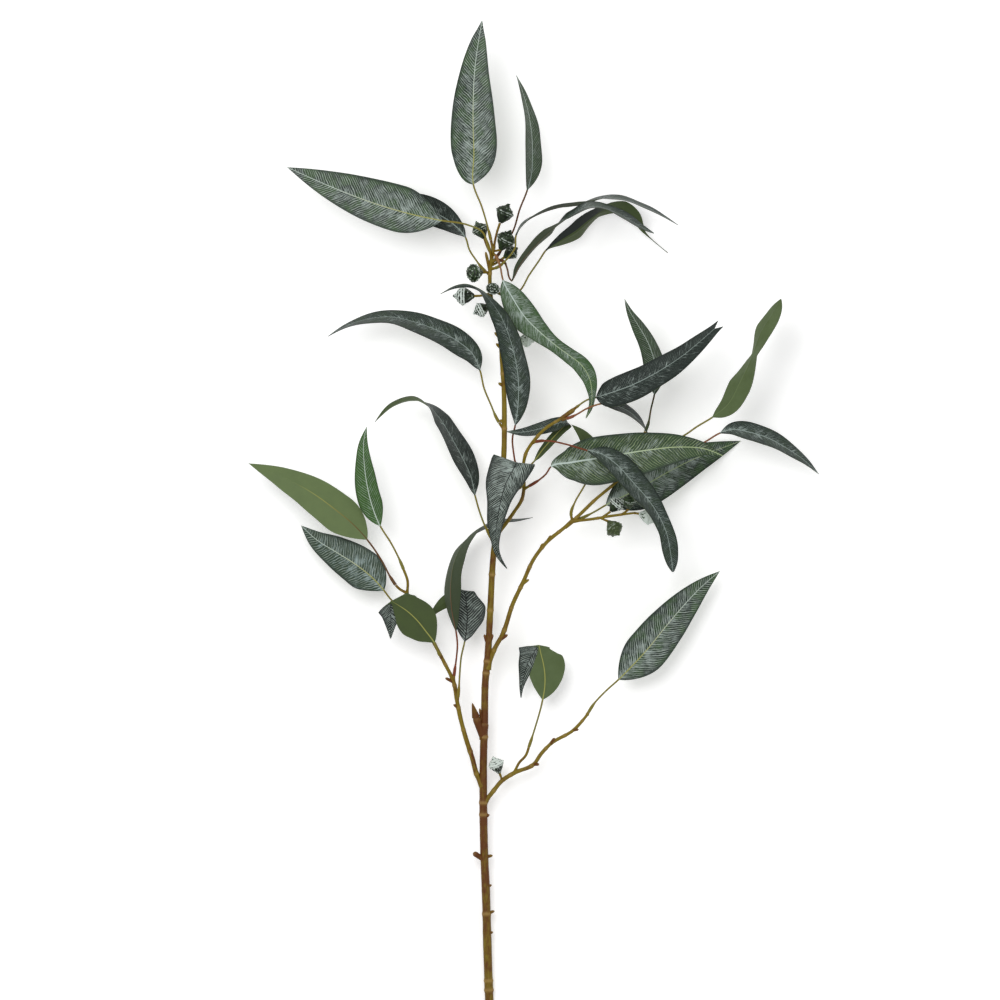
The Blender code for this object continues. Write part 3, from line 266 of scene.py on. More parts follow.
        stalk=[(145, 562, 54), (157, 562.5, 51), (185, 567, 49.5), (214.7, 578, 50)],
        blade=[(230.2, 587, 51), (242, 590.5, 51), (258, 588, 50), (277, 582.3, 47), (294, 573.3, 43),
               (312, 561.3, 37), (328.7, 546, 30)],
        width=27, turn=[(0, -48), (1, -44)], nub=6),
    "leaf_left_upright": dict(
        stalk=[(-83, 427, 36), (-82.3, 438, 39), (-86.8, 451.5, 42), (-99, 477, 46)],
        blade=[(-109.7, 494, 48), (-118, 515, 50), (-122.8, 535, 51), (-125.7, 557, 51),
               (-126.2, 578, 50), (-123.2, 593.3, 49)],
        width=28, turn=[(0, -32), (1, -36)], nub=25),
    "leaf_left_pale": dict(
        stalk=[(-83, 427, 36), (-91, 431.5, 37), (-99, 442, 37.5), (-107.5, 458, 37.5)],
        blade=[(-123, 480.5, 37), (-138, 496.5, 37), (-155, 510.5, 37), (-181, 529, 36.5),
               (-207, 542.5, 36), (-241.4, 556.6, 34)],
        width=40, turn=[(0, 196), (1, 200)], nub=14),
    "leaf_left_frosted": dict(
        stalk=[(-70, 402, 35.2), (-80, 406, 31), (-92, 414, 28.5), (-99.5, 421, 27.5)],
        blade=[(-106, 429.5, 27), (-117.2, 441.8, 26.5), (-131.6, 453.6, 25.5), (-152.6, 467.1, 24),
               (-173.7, 480.4, 22),
               (-189, 494.6, 20)],
        width=40.5, turn=[(0, 6), (1, 10)], nub=6),
    "leaf_left_folded": dict(
        stalk=[(-48.5, 362.5, 33.2), (-51, 366, 38.5), (-53, 371, 42)],
        blade=[(-55.6, 377, 44.5), (-64, 388.5, 46), (-72.6, 399.3, 47), (-83, 409, 47.8), (-92, 415, 48),
               (-96.8, 417.8, 47.6), (-99.2, 418.8, 45.2), (-99.2, 416.2, 42.8), (-99, 410, 42),
               (-99.2, 400, 41), (-99.3, 390, 40), (-99.4, 381.5, 39)],
        outline=[(0, 0), (6, 14), (14, 28), (28, 39.5), (42, 34), (50, 26), (55, 21.5), (59.5, 20),
                 (63, 25.5), (66.5, 28), (70, 25), (76, 19.5), (83, 14), (92, 7), (100.5, 1)],
        lean=[(0, 0), (0.42, 0), (0.5, -0.3), (0.56, -0.66), (0.595, -0.8), (0.625, -0.3), (0.655, 0.05),
              (1, 0)],
        turn=[(0, 180)], crease=211, nub=5),
    "leaf_left_slender": dict(
        stalk=[(-36.4, 339, 31), (-35.4, 349, 38), (-33.6, 362, 43), (-32.6, 376, 46)],
        blade=[(-34, 389, 47), (-38, 411, 47), (-39, 434, 45), (-36, 455.8, 41), (-29.7, 471.2, 36),
               (-19.3, 485, 30), (-4, 495, 24), (12, 499.6, 21), (27, 500.3, 20), (42.8, 502.4, 19)],
        width=36, turn=[(0, 120), (0.5, 116), (0.75, 96), (1, 94)], nub=7),
    "leaf_left_curled": dict(
        stalk=[(-32.6, 317, 28.6), (-31.8, 324, 33), (-31, 333, 34.6), (-30.2, 347, 34.4),
               (-28.6, 364, 33.4)],
        blade=[(-25.3, 378.4, 32.8), (-23.4, 392, 32.4), (-22.8, 405, 32), (-23.6, 416, 31.8),
               (-24.8, 424, 31.6), (-25.5, 427.6, 31.2), (-26.2, 429.6, 28.8), (-27.8, 428.2, 26.4),
               (-33, 424, 25.8), (-45.3, 417.6, 25), (-55, 409, 23.5), (-60.5, 402, 22.5)],
        outline=[(0, 0), (6, 12), (13, 21), (25, 35), (33, 37.5), (42, 31.5), (48, 27), (52.7, 25), (60, 22),
                 (70, 15), (80, 11), (90, 6), (98.5, 1)],
        lean=[(0, 0), (0.38, 0), (0.475, 0.08), (0.507, -0.12), (0.54, -0.2), (0.62, 0), (1, 0)],
        turn=[(0, 0)], crease=-15, nub=7),
    "leaf_low_long": dict(
        stalk=[(97, 305, 23), (103.8, 316, 24.5), (114.4, 327.6, 26)],
        blade=[(128.5, 340.4, 27), (142, 354, 28), (158, 371.5, 28.5), (174.3, 391.7, 28), (193, 413.8, 27),
               (211, 432.8, 25), (230, 449, 22)],
        width=43, turn=[(0, 6), (1, 10)], nub=3),
    "leaf_low_folded": dict(
        stalk=[(24.6, 247.6, 19.5), (29, 257, 22), (35.7, 264.5, 24), (39.5, 275, 25.5), (45, 292, 27)],
        blade=[(52.6, 320, 28), (54.6, 332, 28.5), (54.9, 345, 29), (53, 358, 30), (50.6, 367.5, 30.5),
               (49.6, 372.2, 30.2), (48.6, 374.8, 27.8), (47, 372.6, 25.4), (43.5, 367, 24.8),
               (37.8, 357, 23), (34, 344, 20), (31.5, 332, 17), (31, 322.3, 15)],
        outline=[(0, 0), (6, 13), (16, 27), (27, 35), (40, 29), (48, 19), (54, 12), (57.5, 19), (61, 27),
                 (68, 24.5), (78, 18), (90, 11), (104, 4.5), (115, 1)],
        lean=[(0, 0), (0.22, -0.1), (0.34, -0.4), (0.42, -0.68), (0.475, -0.72), (0.505, -0.05),
              (0.535, 0.28), (0.62, 0.12), (1, 0)],
        turn=[(0, 180)], crease=176, nub=30),
}

# Gumnuts: stalk from its root on the wood to the nut's base, the way the nut points, and its width
GUMNUTS = {
    "gumnut_crown_1": ([(4, 773, 59.9), (6.5, 786, 61), (10, 797, 61.5)], (0.45, 1, 0), 18),
    "gumnut_crown_2": ([(3, 769, 59.7), (7.5, 769.5, 62.5), (10.5, 770.3, 63.5)], (0.45, 0.85, 0.2), 19),
    "gumnut_crown_3": ([(1.5, 754.5, 58.4), (8, 758, 54), (14, 762.5, 51.5)], (1, 0.72, -0.2), 14.5),
    "gumnut_crown_4": ([(2.2, 764, 59.3), (-2.3, 772, 54.5), (-5.6, 781.5, 51)], (-0.5, 1, -0.1), 16),
    "gumnut_crown_5": ([(0, 748, 58), (-4.5, 747.5, 61), (-8, 747.5, 62.5)], (-0.75, -0.05, 0.7), 17.5),
    "gumnut_crown_6": ([(0.6, 727, 56.2), (-8, 724.5, 51.5), (-15.5, 724, 48.5)], (-1, 0, -0.12), 18.5),
    "gumnut_crown_7": ([(2.6, 716, 55.4), (1.7, 714.6, 50.5), (-0.8, 714, 47.6)], (-0.85, -0.4, 0.05), 15),
    "gumnut_crown_8": ([(1, 725, 56.2), (1.4, 725.5, 58.5), (1.8, 726, 59.5)], (0.1, 0.45, 0.6), 13.5),
    "gumnut_crown_9": ([(10.2, 683, 52.5), (20, 682, 50), (28, 681, 49)], (1, -0.1, -0.1), 14.5),
    "gumnut_low": ([(12, 239.5, 19), (11, 243, 22), (9.6, 246.8, 23.5)], (-0.4, 1, 0.25), 15.5),
    "gumnut_right_1": ([(110, 502.2, 52.9), (115, 500, 54), (118.5, 498.5, 54.5)], (0.55, -0.7, 0.5), 17),
    "gumnut_right_2": ([(112, 502.5, 53.2), (117, 506, 53.5), (120.5, 508.5, 53.5)], (0.75, 0.9, 0.1), 15),
    "gumnut_right_3": ([(131, 505.2, 55.6), (136, 508.5, 58), (138.5, 511, 59.5)], (0.1, 1, 0.35), 14),
    "gumnut_right_4": ([(144, 507, 57), (147, 506.6, 57.3), (149, 506.2, 57.4)], (1, -0.25, 0.2), 17),
}

# Turned outline of a gumnut: distance from its base and radius, as shares of its width
GUMNUT_OUTLINE = [
    (0.0, 0.12), (0.1, 0.18), (0.3, 0.33), (0.52, 0.44), (0.65, 0.5), (0.72, 0.45),
    (0.86, 0.35), (1.0, 0.16), (1.16, 0.05),
]

# Fine leaves, in millimetres: spacing of the rings, shares at which points lie from the midrib to the
# margin, thickness and how much of it the margin loses, the midrib's half width at the base and at
# the tip, its ridge below and groove above with the shares that both lose towards the tip
BLADE_STEP = 1.7
STALK_STEP = 2.2
MARGIN_SHARES = (0.2, 0.42, 0.66, 0.87, 1.0)
BLADE_THICKNESS = 0.55
MARGIN_THINNING = 0.45
RIB_HALF_WIDTH = (1.0, 0.35)
RIB_SHOULDER = 0.55
RIB_RIDGE = 0.42
RIDGE_FADE = 0.8
RIB_GROOVE = 0.14
GROOVE_FADE = 0.7

# Share of the blade over which the stalk's round section flattens, waves of the margin, the lip at
# the sleeve's foot and the share of the stalk that the sleeve may cover, and the least height
ROUND_BASE_SHARE = 0.07
MARGIN_WAVE = 0.45
WAVE_LENGTHS = (32, 52)
SLEEVE_LIP = 1.08
SLEEVE_SHARE = 0.45
FLOOR_CLEARANCE = 0.02

# Veins: how far they curve on towards the margin, how far they wander, in millimetres, and how far
# the painted shadow line beside each lies from it, as a share of their spacing
VEIN_BEND = 0.18
VEIN_DRIFT = 4.0
SHADOW_SHIFT = 0.27

# Wood: spacing of the rings along shoots and spurs, sides of a tube, the joints along it with the
# share by which the bark swells there, the knobs between them, the flares at the root of a shoot and
# of a nub (share and reach), and the plain foot of the stem, a little inside the solid's heel
SHOOT_RING_STEP = 1.5
SPUR_RING_STEP = 1.2
TUBE_SIDES = 16
JOINT_SWELL = 0.16
STEM_JOINT_HALF_LENGTH = 1.6
SHOOT_JOINT_HALF_LENGTH = 1.3
SHOOT_JOINT_STEP = 23.0
FIRST_SHOOT_JOINT = 14
KNOB_STEP = 5.0
STEM_KNOBS = 0.03
SHOOT_KNOBS = 0.07
SHOOT_FLARE = (0.5, 5.0)
NUB_FLARE = (0.45, 2.2)
PLAIN_FOOT = 28.0
FOOT_SHARE = 0.985

# Tone of the wood, below 0 for green and above 0 for brown: along the stem, from root to end of a
# shoot, and of small wood, which is brown where its root is below a height up the branch
STEM_TONES = [(0, 0.05), (150, 0.25), (320, 0.3), (430, 0.0), (560, -0.2), (700, -0.15), (800, -0.3)]
SHOOT_TONES = (-0.05, -0.35)
BROWN_WOOD_TOP = 400.0
BROWN_TONE = 0.3
GREEN_TONE = -0.1

# Gumnuts: rings and sides of the body, its ribs, the heights and half heights of its two rims with
# the groove between them, as shares of its width, the teeth of the upper rim, the folds of the cap,
# the crumples (depth, waves around the nut and waves along it), and the warts, in metres
NUT_RINGS = 34
NUT_SIDES = 60
NUT_RIBS = 9
NUT_RIB_SHARE = 0.07
RIM_HEIGHT = 0.65
RIM_HALF_HEIGHT = 0.035
GROOVE_HEIGHT = 0.59
LOWER_RIM_HEIGHT = 0.52
LOWER_RIM_HALF_HEIGHT = 0.028
RIM_TEETH = 0.09
RIM_TOOTH_COUNT = 11
CAP_FOLD = 0.13
CAP_FOLD_SHARE = 0.07
CRUMPLES = [(0.022, 9, 14), (0.018, 15, -21)]
WART_FLOOR = 0.35
WART_PLACE = (0.75, 1.0, 1.0)
WART_DENSITY = 60000.0
WART_RADIUS = 0.0006
WART_STRETCH = 1.7

# Seeds of the random draws. The leaves, the gumnuts and their warts count on from theirs
WOOD_SEED = 7
WART_SEED = 40
LEAF_SEED = 100
NUT_SEED = 300

# Angles over which an edge stays sharp, in degrees, and how much every skin shines
BARK_SHARP = 50
LEAF_SHARP = 60
NUT_SHARP = 75
SHINE = 0.25

# Studio: half the floor's width, its own glow, the even light around, the lamps (name, place, power
# in watts and width), and the camera's place and the width that it sees, in metres
FLOOR_HALF_WIDTH = 6.0
FLOOR_GLOW = 0.3
AMBIENT = 0.45
LAMPS = [("key", (-0.7, 0.9, 2.6), 42.0, 1.6), ("fill", (1.5, -1.0, 2.3), 12.0, 2.6)]
CAMERA_PLACE = (-0.0336, 0.0205, 3.5)
VIEW_WIDTH = 1.0


def smooth_route(points, step=0.5):
    """Return points every step along a smooth curve through the given ones, and the length at each."""
    knots = np.array(points, float)
    chords = np.linalg.norm(np.diff(knots, axis=0), axis=1)
    slopes = np.diff(knots, axis=0) / chords[:, None]
    tangents = np.zeros_like(knots)
    for i in range(1, len(knots) - 1):
        before, after = chords[i - 1], chords[i]
        tangents[i] = (slopes[i - 1] * after + slopes[i] * before) / (before + after)
    tangents[0] = 1.5 * slopes[0] - 0.5 * tangents[1] if len(knots) > 2 else slopes[0]
    tangents[-1] = 1.5 * slopes[-1] - 0.5 * tangents[-2] if len(knots) > 2 else slopes[-1]
    path = []
    for i, chord in enumerate(chords):
        count = max(2, int(round(chord / step)))
        for u in np.arange(count) / count:
            path.append(
                (2 * u**3 - 3 * u**2 + 1) * knots[i] + (u**3 - 2 * u**2 + u) * chord * tangents[i]
                + (3 * u**2 - 2 * u**3) * knots[i + 1] + (u**3 - u**2) * chord * tangents[i + 1]
            )
    path.append(knots[-1])
    path = np.array(path)
    lengths = np.concatenate([[0], np.cumsum(np.linalg.norm(np.diff(path, axis=0), axis=1))])
    return path, lengths


def along(path, lengths, where):
    """Return the points and unit directions of a route at the given lengths."""
    where = np.asarray(where, float)
    places = np.stack([np.interp(where, lengths, path[:, k]) for k in range(3)], axis=1)
    ahead = np.stack([np.interp(where + 0.4, lengths, path[:, k]) for k in range(3)], axis=1)
    behind = np.stack([np.interp(where - 0.4, lengths, path[:, k]) for k in range(3)], axis=1)
    directions = ahead - behind
    return places, directions / np.linalg.norm(directions, axis=1)[:, None]


def upward(direction):
    """Return the unit vector nearest to straight up that is square to a direction."""
    normal = np.array([0.0, 0.0, 1.0]) - direction[2] * direction
    return normal / np.linalg.norm(normal)


def turned(vector, axis, degrees):
    """Turn a vector about an axis."""
    return np.array(Matrix.Rotation(math.radians(degrees), 3, Vector(axis)) @ Vector(vector))


def carried(places, directions, normal):
    """Carry a normal along a route without spinning it, by double reflection."""
    normals = [normal]
    for i in range(len(places) - 1):
        step = places[i + 1] - places[i]
        half = step @ step
        mirrored = normals[-1] - 2 / half * (step @ normals[-1]) * step
        heading = directions[i] - 2 / half * (step @ directions[i]) * step
        turn = directions[i + 1] - heading
        if turn @ turn > 1e-12:
            mirrored = mirrored - 2 / (turn @ turn) * (turn @ mirrored) * turn
        mirrored = mirrored - (mirrored @ directions[i + 1]) * directions[i + 1]
        normals.append(mirrored / np.linalg.norm(mirrored))
    return normals


def half_widths(leaf, shares):
    """Half the blade's width at shares of its length, from the leaf's own outline or the common one."""
    if "outline" in leaf:
        curve, _ = smooth_route(leaf["outline"])
        return np.interp(shares, curve[:, 0] / curve[-1, 0], curve[:, 1] / 2)
    shares = np.asarray(shares, float)
    rising = np.sin(math.pi / 2 * np.minimum(shares / WIDEST_AT, 1)) ** 0.8
    falling = 1 - (np.maximum(shares - WIDEST_AT, 0) / (1 - WIDEST_AT)) ** 1.86
    return leaf["width"] / 2 * rising * falling


def lean_at(leaf, share):
    """Share by which one side of a blade is wider than its mean, at a share of its length."""
    lean = leaf.get("lean", 0)
    return np.interp(share, *zip(*lean)) if isinstance(lean, list) else lean


def crease_place(lengths, directions):
    """Length at which a folded route dives most steeply, which is where its leaf is creased."""
    return lengths[np.argmin(directions[:, 2])]


def creased_side(direction, distance, leaf):
    """Way across a folded leaf: level, and turning into the line of its crease near the fold."""
    angle = math.radians(leaf["crease"])
    crease = np.array([math.cos(angle), math.sin(angle), 0.0])
    face = -1 if leaf["turn"][0][1] == 180 else 1
    level = np.array([direction[1], -direction[0], 0.0]) * (face if distance < 0 else -face)
    level /= max(np.linalg.norm(level), 1e-6)
    share = min(max((abs(distance) - CREASE_NEAR) / (CREASE_FAR - CREASE_NEAR), 0), 1)
    side = crease + share * share * (3 - 2 * share) * (level - crease)
    return side / np.linalg.norm(side)


def notch_depth(leaf, remaining, part):
    """How far a point near a forked tip draws back: most on the midrib, not at all on the margin."""
    depth = leaf.get("notch", 0)
    share = max(0.0, 1 - remaining / (2.2 * depth)) if depth else 0.0
    return depth * share * share * (3 - 2 * share) * (1 - part)


def at_place(points):
    """Turn millimetres of the layout into metres of the finished model."""
    return (np.asarray(points, float) - (*BRANCH_MIDDLE, 0)) * MM


def ease(low, high, value):
    """Rise smoothly from 0 at low to 1 at high."""
    share = np.clip((np.asarray(value, float) - low) / (high - low), 0, 1)
    return share * share * (3 - 2 * share)


def paint(code):
    """Turn a six-digit paint code into linear colour with full cover."""
    parts = [int(code[i:i + 2], 16) / 255 for i in (0, 2, 4)]
    return (*[p / 12.92 if p <= 0.04045 else ((p + 0.055) / 1.055) ** 2.4 for p in parts], 1.0)


# Paints

DARK_LEAF = paint("222e27")
DEEP_LEAF = paint("18211d")
MOSS_LEAF = paint("2f4028")
LEAF_SHADE = paint("2c4030")
GREEN_LEAF = paint("39532f")
BRIGHT_LEAF = paint("3a5f24")
FROST = paint("bccbc4")
BLUE_FROST = paint("afc2c2")
PALE_VEIN = paint("c0cdc2")
GREY_VEIN = paint("93a19b")
YELLOW_VEIN = paint("a8b98a")
YELLOW_RIB = paint("9a9a50")
BROWN_RIB = paint("5a4326")
DARK_RIB = paint("0f1512")
UNDER_GREEN = paint("5a6a45")
UNDER_PALE = paint("65764a")
UNDER_OLIVE = paint("45542b")
UNDER_DARK = paint("3b452c")
OLIVE = paint("7a7634")
RED_BROWN = paint("7c3f2a")
TAN = paint("8c6a40")
BARK_BROWN = paint("5e330e")
BARK_OLIVE = paint("7c6a16")
BARK_RING = paint("a0824a")
# Near-black of the gumnuts, painted shade in their grooves
NUT_DARK_AND_SHADE = paint("10170f")
NUT_GREEN = paint("35482a")
NUT_FROST = paint("d3ddd6")
FLOOR_GREY = (0.93, 0.93, 0.93, 1.0)
WHITE = (1.0, 1.0, 1.0, 1.0)


# Shader building

def add_node(tree, kind, inputs=None, **settings):
    """Add a node, set its fields, and link or set its inputs."""
    made = tree.nodes.new(kind)
    for field, value in settings.items():
        setattr(made, field, value)
    for key, value in (inputs or {}).items():
        if isinstance(value, bpy.types.NodeSocket):
            tree.links.new(value, made.inputs[key])
        else:
            made.inputs[key].default_value = value
    return made


def calc(tree, operation, first, second=0.0, third=None):
    """Add a Math node and return its result."""
    inputs = {0: first, 1: second}
    if third is not None:
        inputs[2] = third
    return add_node(tree, "ShaderNodeMath", inputs, operation=operation).outputs[0]


def faded(tree, value, low, high, start=0.0, end=1.0):
    """Rise smoothly between two values."""
    made = add_node(tree, "ShaderNodeMapRange", {"Value": value, "From Min": low, "From Max": high,
                                                 "To Min": start, "To Max": end},
                    interpolation_type="SMOOTHSTEP")
    return made.outputs["Result"]


def mixed(tree, share, first, second):
    """Mix two colours."""
    made = add_node(tree, "ShaderNodeMix", {0: share, 6: first, 7: second}, data_type="RGBA")
    return made.outputs[2]


def noise(tree, vector, scale, detail=2.0, roughness=0.5):
    """Add smooth noise and return its value."""
    made = add_node(tree, "ShaderNodeTexNoise", {"Vector": vector, "Scale": scale, "Detail": detail,
                                                 "Roughness": roughness})
    return made.outputs["Fac"]


def band(tree, value, middle, inner, outer, strength):
    """Give strength where a value is near a middle, fading out to either side."""
    distance = calc(tree, "ABSOLUTE", calc(tree, "SUBTRACT", value, middle))
    return faded(tree, distance, inner, outer, strength, 0.0)


def new_group(name, inputs):
    """Start a node group with named inputs, and with a skin's colour, roughness and relief as outputs."""
    group = bpy.data.node_groups.new(name, "ShaderNodeTree")
    for label, value in inputs.items():
        kind = "NodeSocketColor" if isinstance(value, tuple) else "NodeSocketFloat"
        socket = group.interface.new_socket(name=label, in_out="INPUT", socket_type=kind)
        socket.default_value = value
    for label, kind in (("Colour", "NodeSocketColor"), ("Roughness", "NodeSocketFloat"),
                        ("Height", "NodeSocketFloat")):
        group.interface.new_socket(name=label, in_out="OUTPUT", socket_type=kind)
    return group, group.nodes.new("NodeGroupInput").outputs, group.nodes.new("NodeGroupOutput").inputs


def end_group(group, result, colour, roughness, height):
    """Link a skin's colour, roughness and relief to the outputs of its group."""
    for label, value in (("Colour", colour), ("Roughness", roughness), ("Height", height)):
        group.links.new(value, result[label])
    return group


def attribute(tree, name):
    """Read a point attribute and return its three parts."""
    vector = add_node(tree, "ShaderNodeAttribute", attribute_name=name).outputs["Vector"]
    parts = add_node(tree, "ShaderNodeSeparateXYZ", {"Vector": vector}).outputs
    return vector, parts["X"], parts["Y"], parts["Z"]


def leaf_face_group():
    """Upper side of a leaf: herringbone veins, streaks of frost beside them, and the midrib."""
    group, given, result = new_group("leaf face", {
        "Leaf colour": DARK_LEAF, "Patch colour": GREEN_LEAF, "Margin colour": DEEP_LEAF,
        "Frost colour": FROST, "Vein colour": PALE_VEIN, "Rib base colour": YELLOW_RIB,
        "Rib tip colour": PALE_VEIN, "Vein strength": 0.5, "Vein spacing": 3.0, "Vein slope": 0.88,
        "Vein shadow": 0.5, "Frosting": 0.4, "Frost by midrib": 0.55, "Patchiness": 0.5, "Rib width": 0.5,
    })
    place, across, lengthwise, share = attribute(group, "leaf_place")
    _, edge, _, side = attribute(group, "leaf_share")
    reach = calc(group, "ABSOLUTE", across)
    # Veins: lines that slant on from the midrib, numbered one by one along the leaf
    bend = calc(group, "MULTIPLY_ADD", calc(group, "MULTIPLY", edge, edge), VEIN_BEND, 1.0)
    slanted = calc(group, "MULTIPLY", calc(group, "MULTIPLY", reach, given["Vein slope"]), bend)
    drift = calc(group, "MULTIPLY_ADD", noise(group, place, 0.09, 1.0), VEIN_DRIFT, -0.5 * VEIN_DRIFT)
    run = calc(group, "ADD", calc(group, "SUBTRACT", lengthwise, slanted), drift)
    offset = calc(group, "MULTIPLY_ADD", side, 0.4, run)
    turns = calc(group, "DIVIDE", offset, given["Vein spacing"])
    near = calc(group, "PINGPONG", turns, 0.5)
    beside = calc(group, "PINGPONG", calc(group, "ADD", turns, SHADOW_SHIFT), 0.5)
    number = calc(group, "FLOOR", calc(group, "ADD", turns, 0.5))
    fortune = add_node(group, "ShaderNodeTexWhiteNoise", {
        "W": calc(group, "MULTIPLY_ADD", side, 71.3, number)}, noise_dimensions="1D").outputs["Value"]
    # Frost: noise drawn out along the veins, most by the midrib and towards the base
    streak_place = add_node(group, "ShaderNodeCombineXYZ", {
        "X": calc(group, "MULTIPLY", offset, 1.25),
        "Y": calc(group, "MULTIPLY", calc(group, "ADD", reach, lengthwise), 0.055),
        "Z": calc(group, "MULTIPLY", side, 7.0),
    }).outputs["Vector"]
    streaks = noise(group, streak_place, 1.0, 3.0, 0.58)
    long_place = add_node(group, "ShaderNodeCombineXYZ", {
        "X": calc(group, "MULTIPLY", offset, 0.2),
        "Y": calc(group, "MULTIPLY", calc(group, "ADD", reach, lengthwise), 0.09),
        "Z": calc(group, "MULTIPLY", side, 3.0),
    }).outputs["Vector"]
    breaks = noise(group, long_place, 1.0, 2.0, 0.6)
    patches = noise(group, place, 0.055, 3.0, 0.55)
    inward = faded(group, edge, 0.05, 0.85, 1.0, 0.0)
    baseward = faded(group, share, 0.1, 0.95, 1.0, 0.5)
    local = calc(group, "MULTIPLY", calc(group, "MULTIPLY_ADD", inward, given["Frost by midrib"], 0.42),
                 baseward)
    patched = calc(group, "MULTIPLY", local, faded(group, patches, 0.32, 0.66, 1.35, 0.45))
    amount = calc(group, "MULTIPLY", patched, given["Frosting"])
    threshold = calc(group, "MULTIPLY_ADD", amount, -0.3, 0.68)
    frost = faded(group, calc(group, "SUBTRACT", streaks, threshold), -0.03, 0.09)
    speckle = noise(group, place, 0.95, 2.0, 0.75)
    salt = calc(group, "MULTIPLY", faded(group, speckle, 0.56, 0.7), calc(group, "MULTIPLY", amount, 1.2))
    # Colours, from the plain skin up: patches, frost, painted shadows beside veins, veins, margin and midrib
    skin = mixed(group, calc(group, "MULTIPLY", faded(group, patches, 0.42, 0.62), given["Patchiness"]),
                 given["Leaf colour"], given["Patch colour"])
    skin = mixed(group, faded(group, speckle, 0.3, 0.5, 0.3, 0.0), skin, given["Margin colour"])
    white = calc(group, "MAXIMUM", calc(group, "MULTIPLY", frost, 0.6), calc(group, "MULTIPLY", salt, 0.6))
    skin = mixed(group, white, skin, given["Frost colour"])
    fading = faded(group, edge, 0.72, 0.97, 1.0, 0.0)
    luck = calc(group, "MULTIPLY_ADD", fortune, 0.6, 0.4)
    held = calc(group, "MULTIPLY", calc(group, "MULTIPLY", fading, luck),
                faded(group, breaks, 0.32, 0.55, 0.35, 1.0))
    # Painted shadow: a dark line beside each vein
    shadow = calc(group, "MULTIPLY", faded(group, beside, 0.03, 0.17, 1.0, 0.0), held)
    skin = mixed(group, calc(group, "MULTIPLY", shadow, given["Vein shadow"]), skin, DEEP_LEAF)
    width = calc(group, "MULTIPLY_ADD", noise(group, place, 0.25, 2.0), 0.2, 0.04)
    lines = faded(group, near, calc(group, "MULTIPLY", width, 0.35), width, 1.0, 0.0)
    shown = calc(group, "MULTIPLY", calc(group, "MULTIPLY", lines, held), given["Vein strength"])
    skin = mixed(group, shown, skin, given["Vein colour"])
    skin = mixed(group, faded(group, edge, 0.84, 1.0, 0.0, 0.8), skin, given["Margin colour"])
    rib_colour = mixed(group, faded(group, share, 0.1, 0.75), given["Rib base colour"],
                       given["Rib tip colour"])
    thin = calc(group, "MULTIPLY", given["Rib width"], faded(group, share, 0.0, 1.0, 1.15, 0.45))
    rib = faded(group, reach, calc(group, "MULTIPLY", thin, 0.55), calc(group, "MULTIPLY", thin, 1.3),
                1.0, 0.0)
    skin = mixed(group, rib, skin, rib_colour)
    rough = calc(group, "MULTIPLY_ADD", frost, 0.16, 0.46)
    relief = calc(group, "MULTIPLY_ADD", lines, 0.5, calc(group, "MULTIPLY", streaks, 0.5))
    return end_group(group, result, skin, rough, relief)


def leaf_back_group():
    """Underside of a leaf: plain woven-looking green with a fading midrib."""
    group, given, result = new_group("leaf back", {
        "Back colour": UNDER_GREEN, "Shade colour": UNDER_DARK, "Rib base colour": BROWN_RIB,
        "Rib tip colour": YELLOW_RIB, "Rib width": 0.6, "Rib reach": 0.7, "Curled margin": 0.0,
    })
    place, across, lengthwise, share = attribute(group, "leaf_place")
    _, edge, _, side = attribute(group, "leaf_share")
    reach = calc(group, "ABSOLUTE", across)
    patches = noise(group, place, 0.07, 3.0)
    threads = calc(group, "MAXIMUM",
                   faded(group, calc(group, "PINGPONG", calc(group, "DIVIDE", across, 0.62), 0.5), 0.0, 0.5),
                   faded(group, calc(group, "PINGPONG", calc(group, "DIVIDE", lengthwise, 0.62), 0.5),
                         0.0, 0.5))
    fibre = noise(group, place, 1.2, 3.0, 0.6)
    cloth = calc(group, "MULTIPLY_ADD", threads, 0.5, calc(group, "MULTIPLY", fibre, 0.5))
    skin = mixed(group, faded(group, patches, 0.3, 0.75, 0.0, 0.45), given["Back colour"],
                 given["Shade colour"])
    skin = mixed(group, faded(group, cloth, 0.35, 0.85, 0.4, 0.0), skin, given["Shade colour"])
    rib_colour = mixed(group, faded(group, share, 0.0, 0.55), given["Rib base colour"],
                       given["Rib tip colour"])
    thin = calc(group, "MULTIPLY", given["Rib width"], faded(group, share, 0.0, 1.0, 1.1, 0.35))
    rib = faded(group, reach, calc(group, "MULTIPLY", thin, 0.5), thin, 1.0, 0.0)
    rib = calc(group, "MULTIPLY", rib, faded(group, share, calc(group, "SUBTRACT", given["Rib reach"], 0.3),
                                             given["Rib reach"], 1.0, 0.0))
    skin = mixed(group, rib, skin, rib_colour)
    curl_start = calc(group, "SUBTRACT", 1.05, given["Curled margin"])
    curl = faded(group, calc(group, "MULTIPLY", edge, side), curl_start, calc(group, "ADD", curl_start, 0.06))
    curl = calc(group, "MULTIPLY", curl, faded(group, share, 0.4, 0.5, 1.0, 0.0))
    skin = mixed(group, curl, skin, DEEP_LEAF)
    return end_group(group, result, skin, calc(group, "MULTIPLY_ADD", cloth, 0.1, 0.6), cloth)


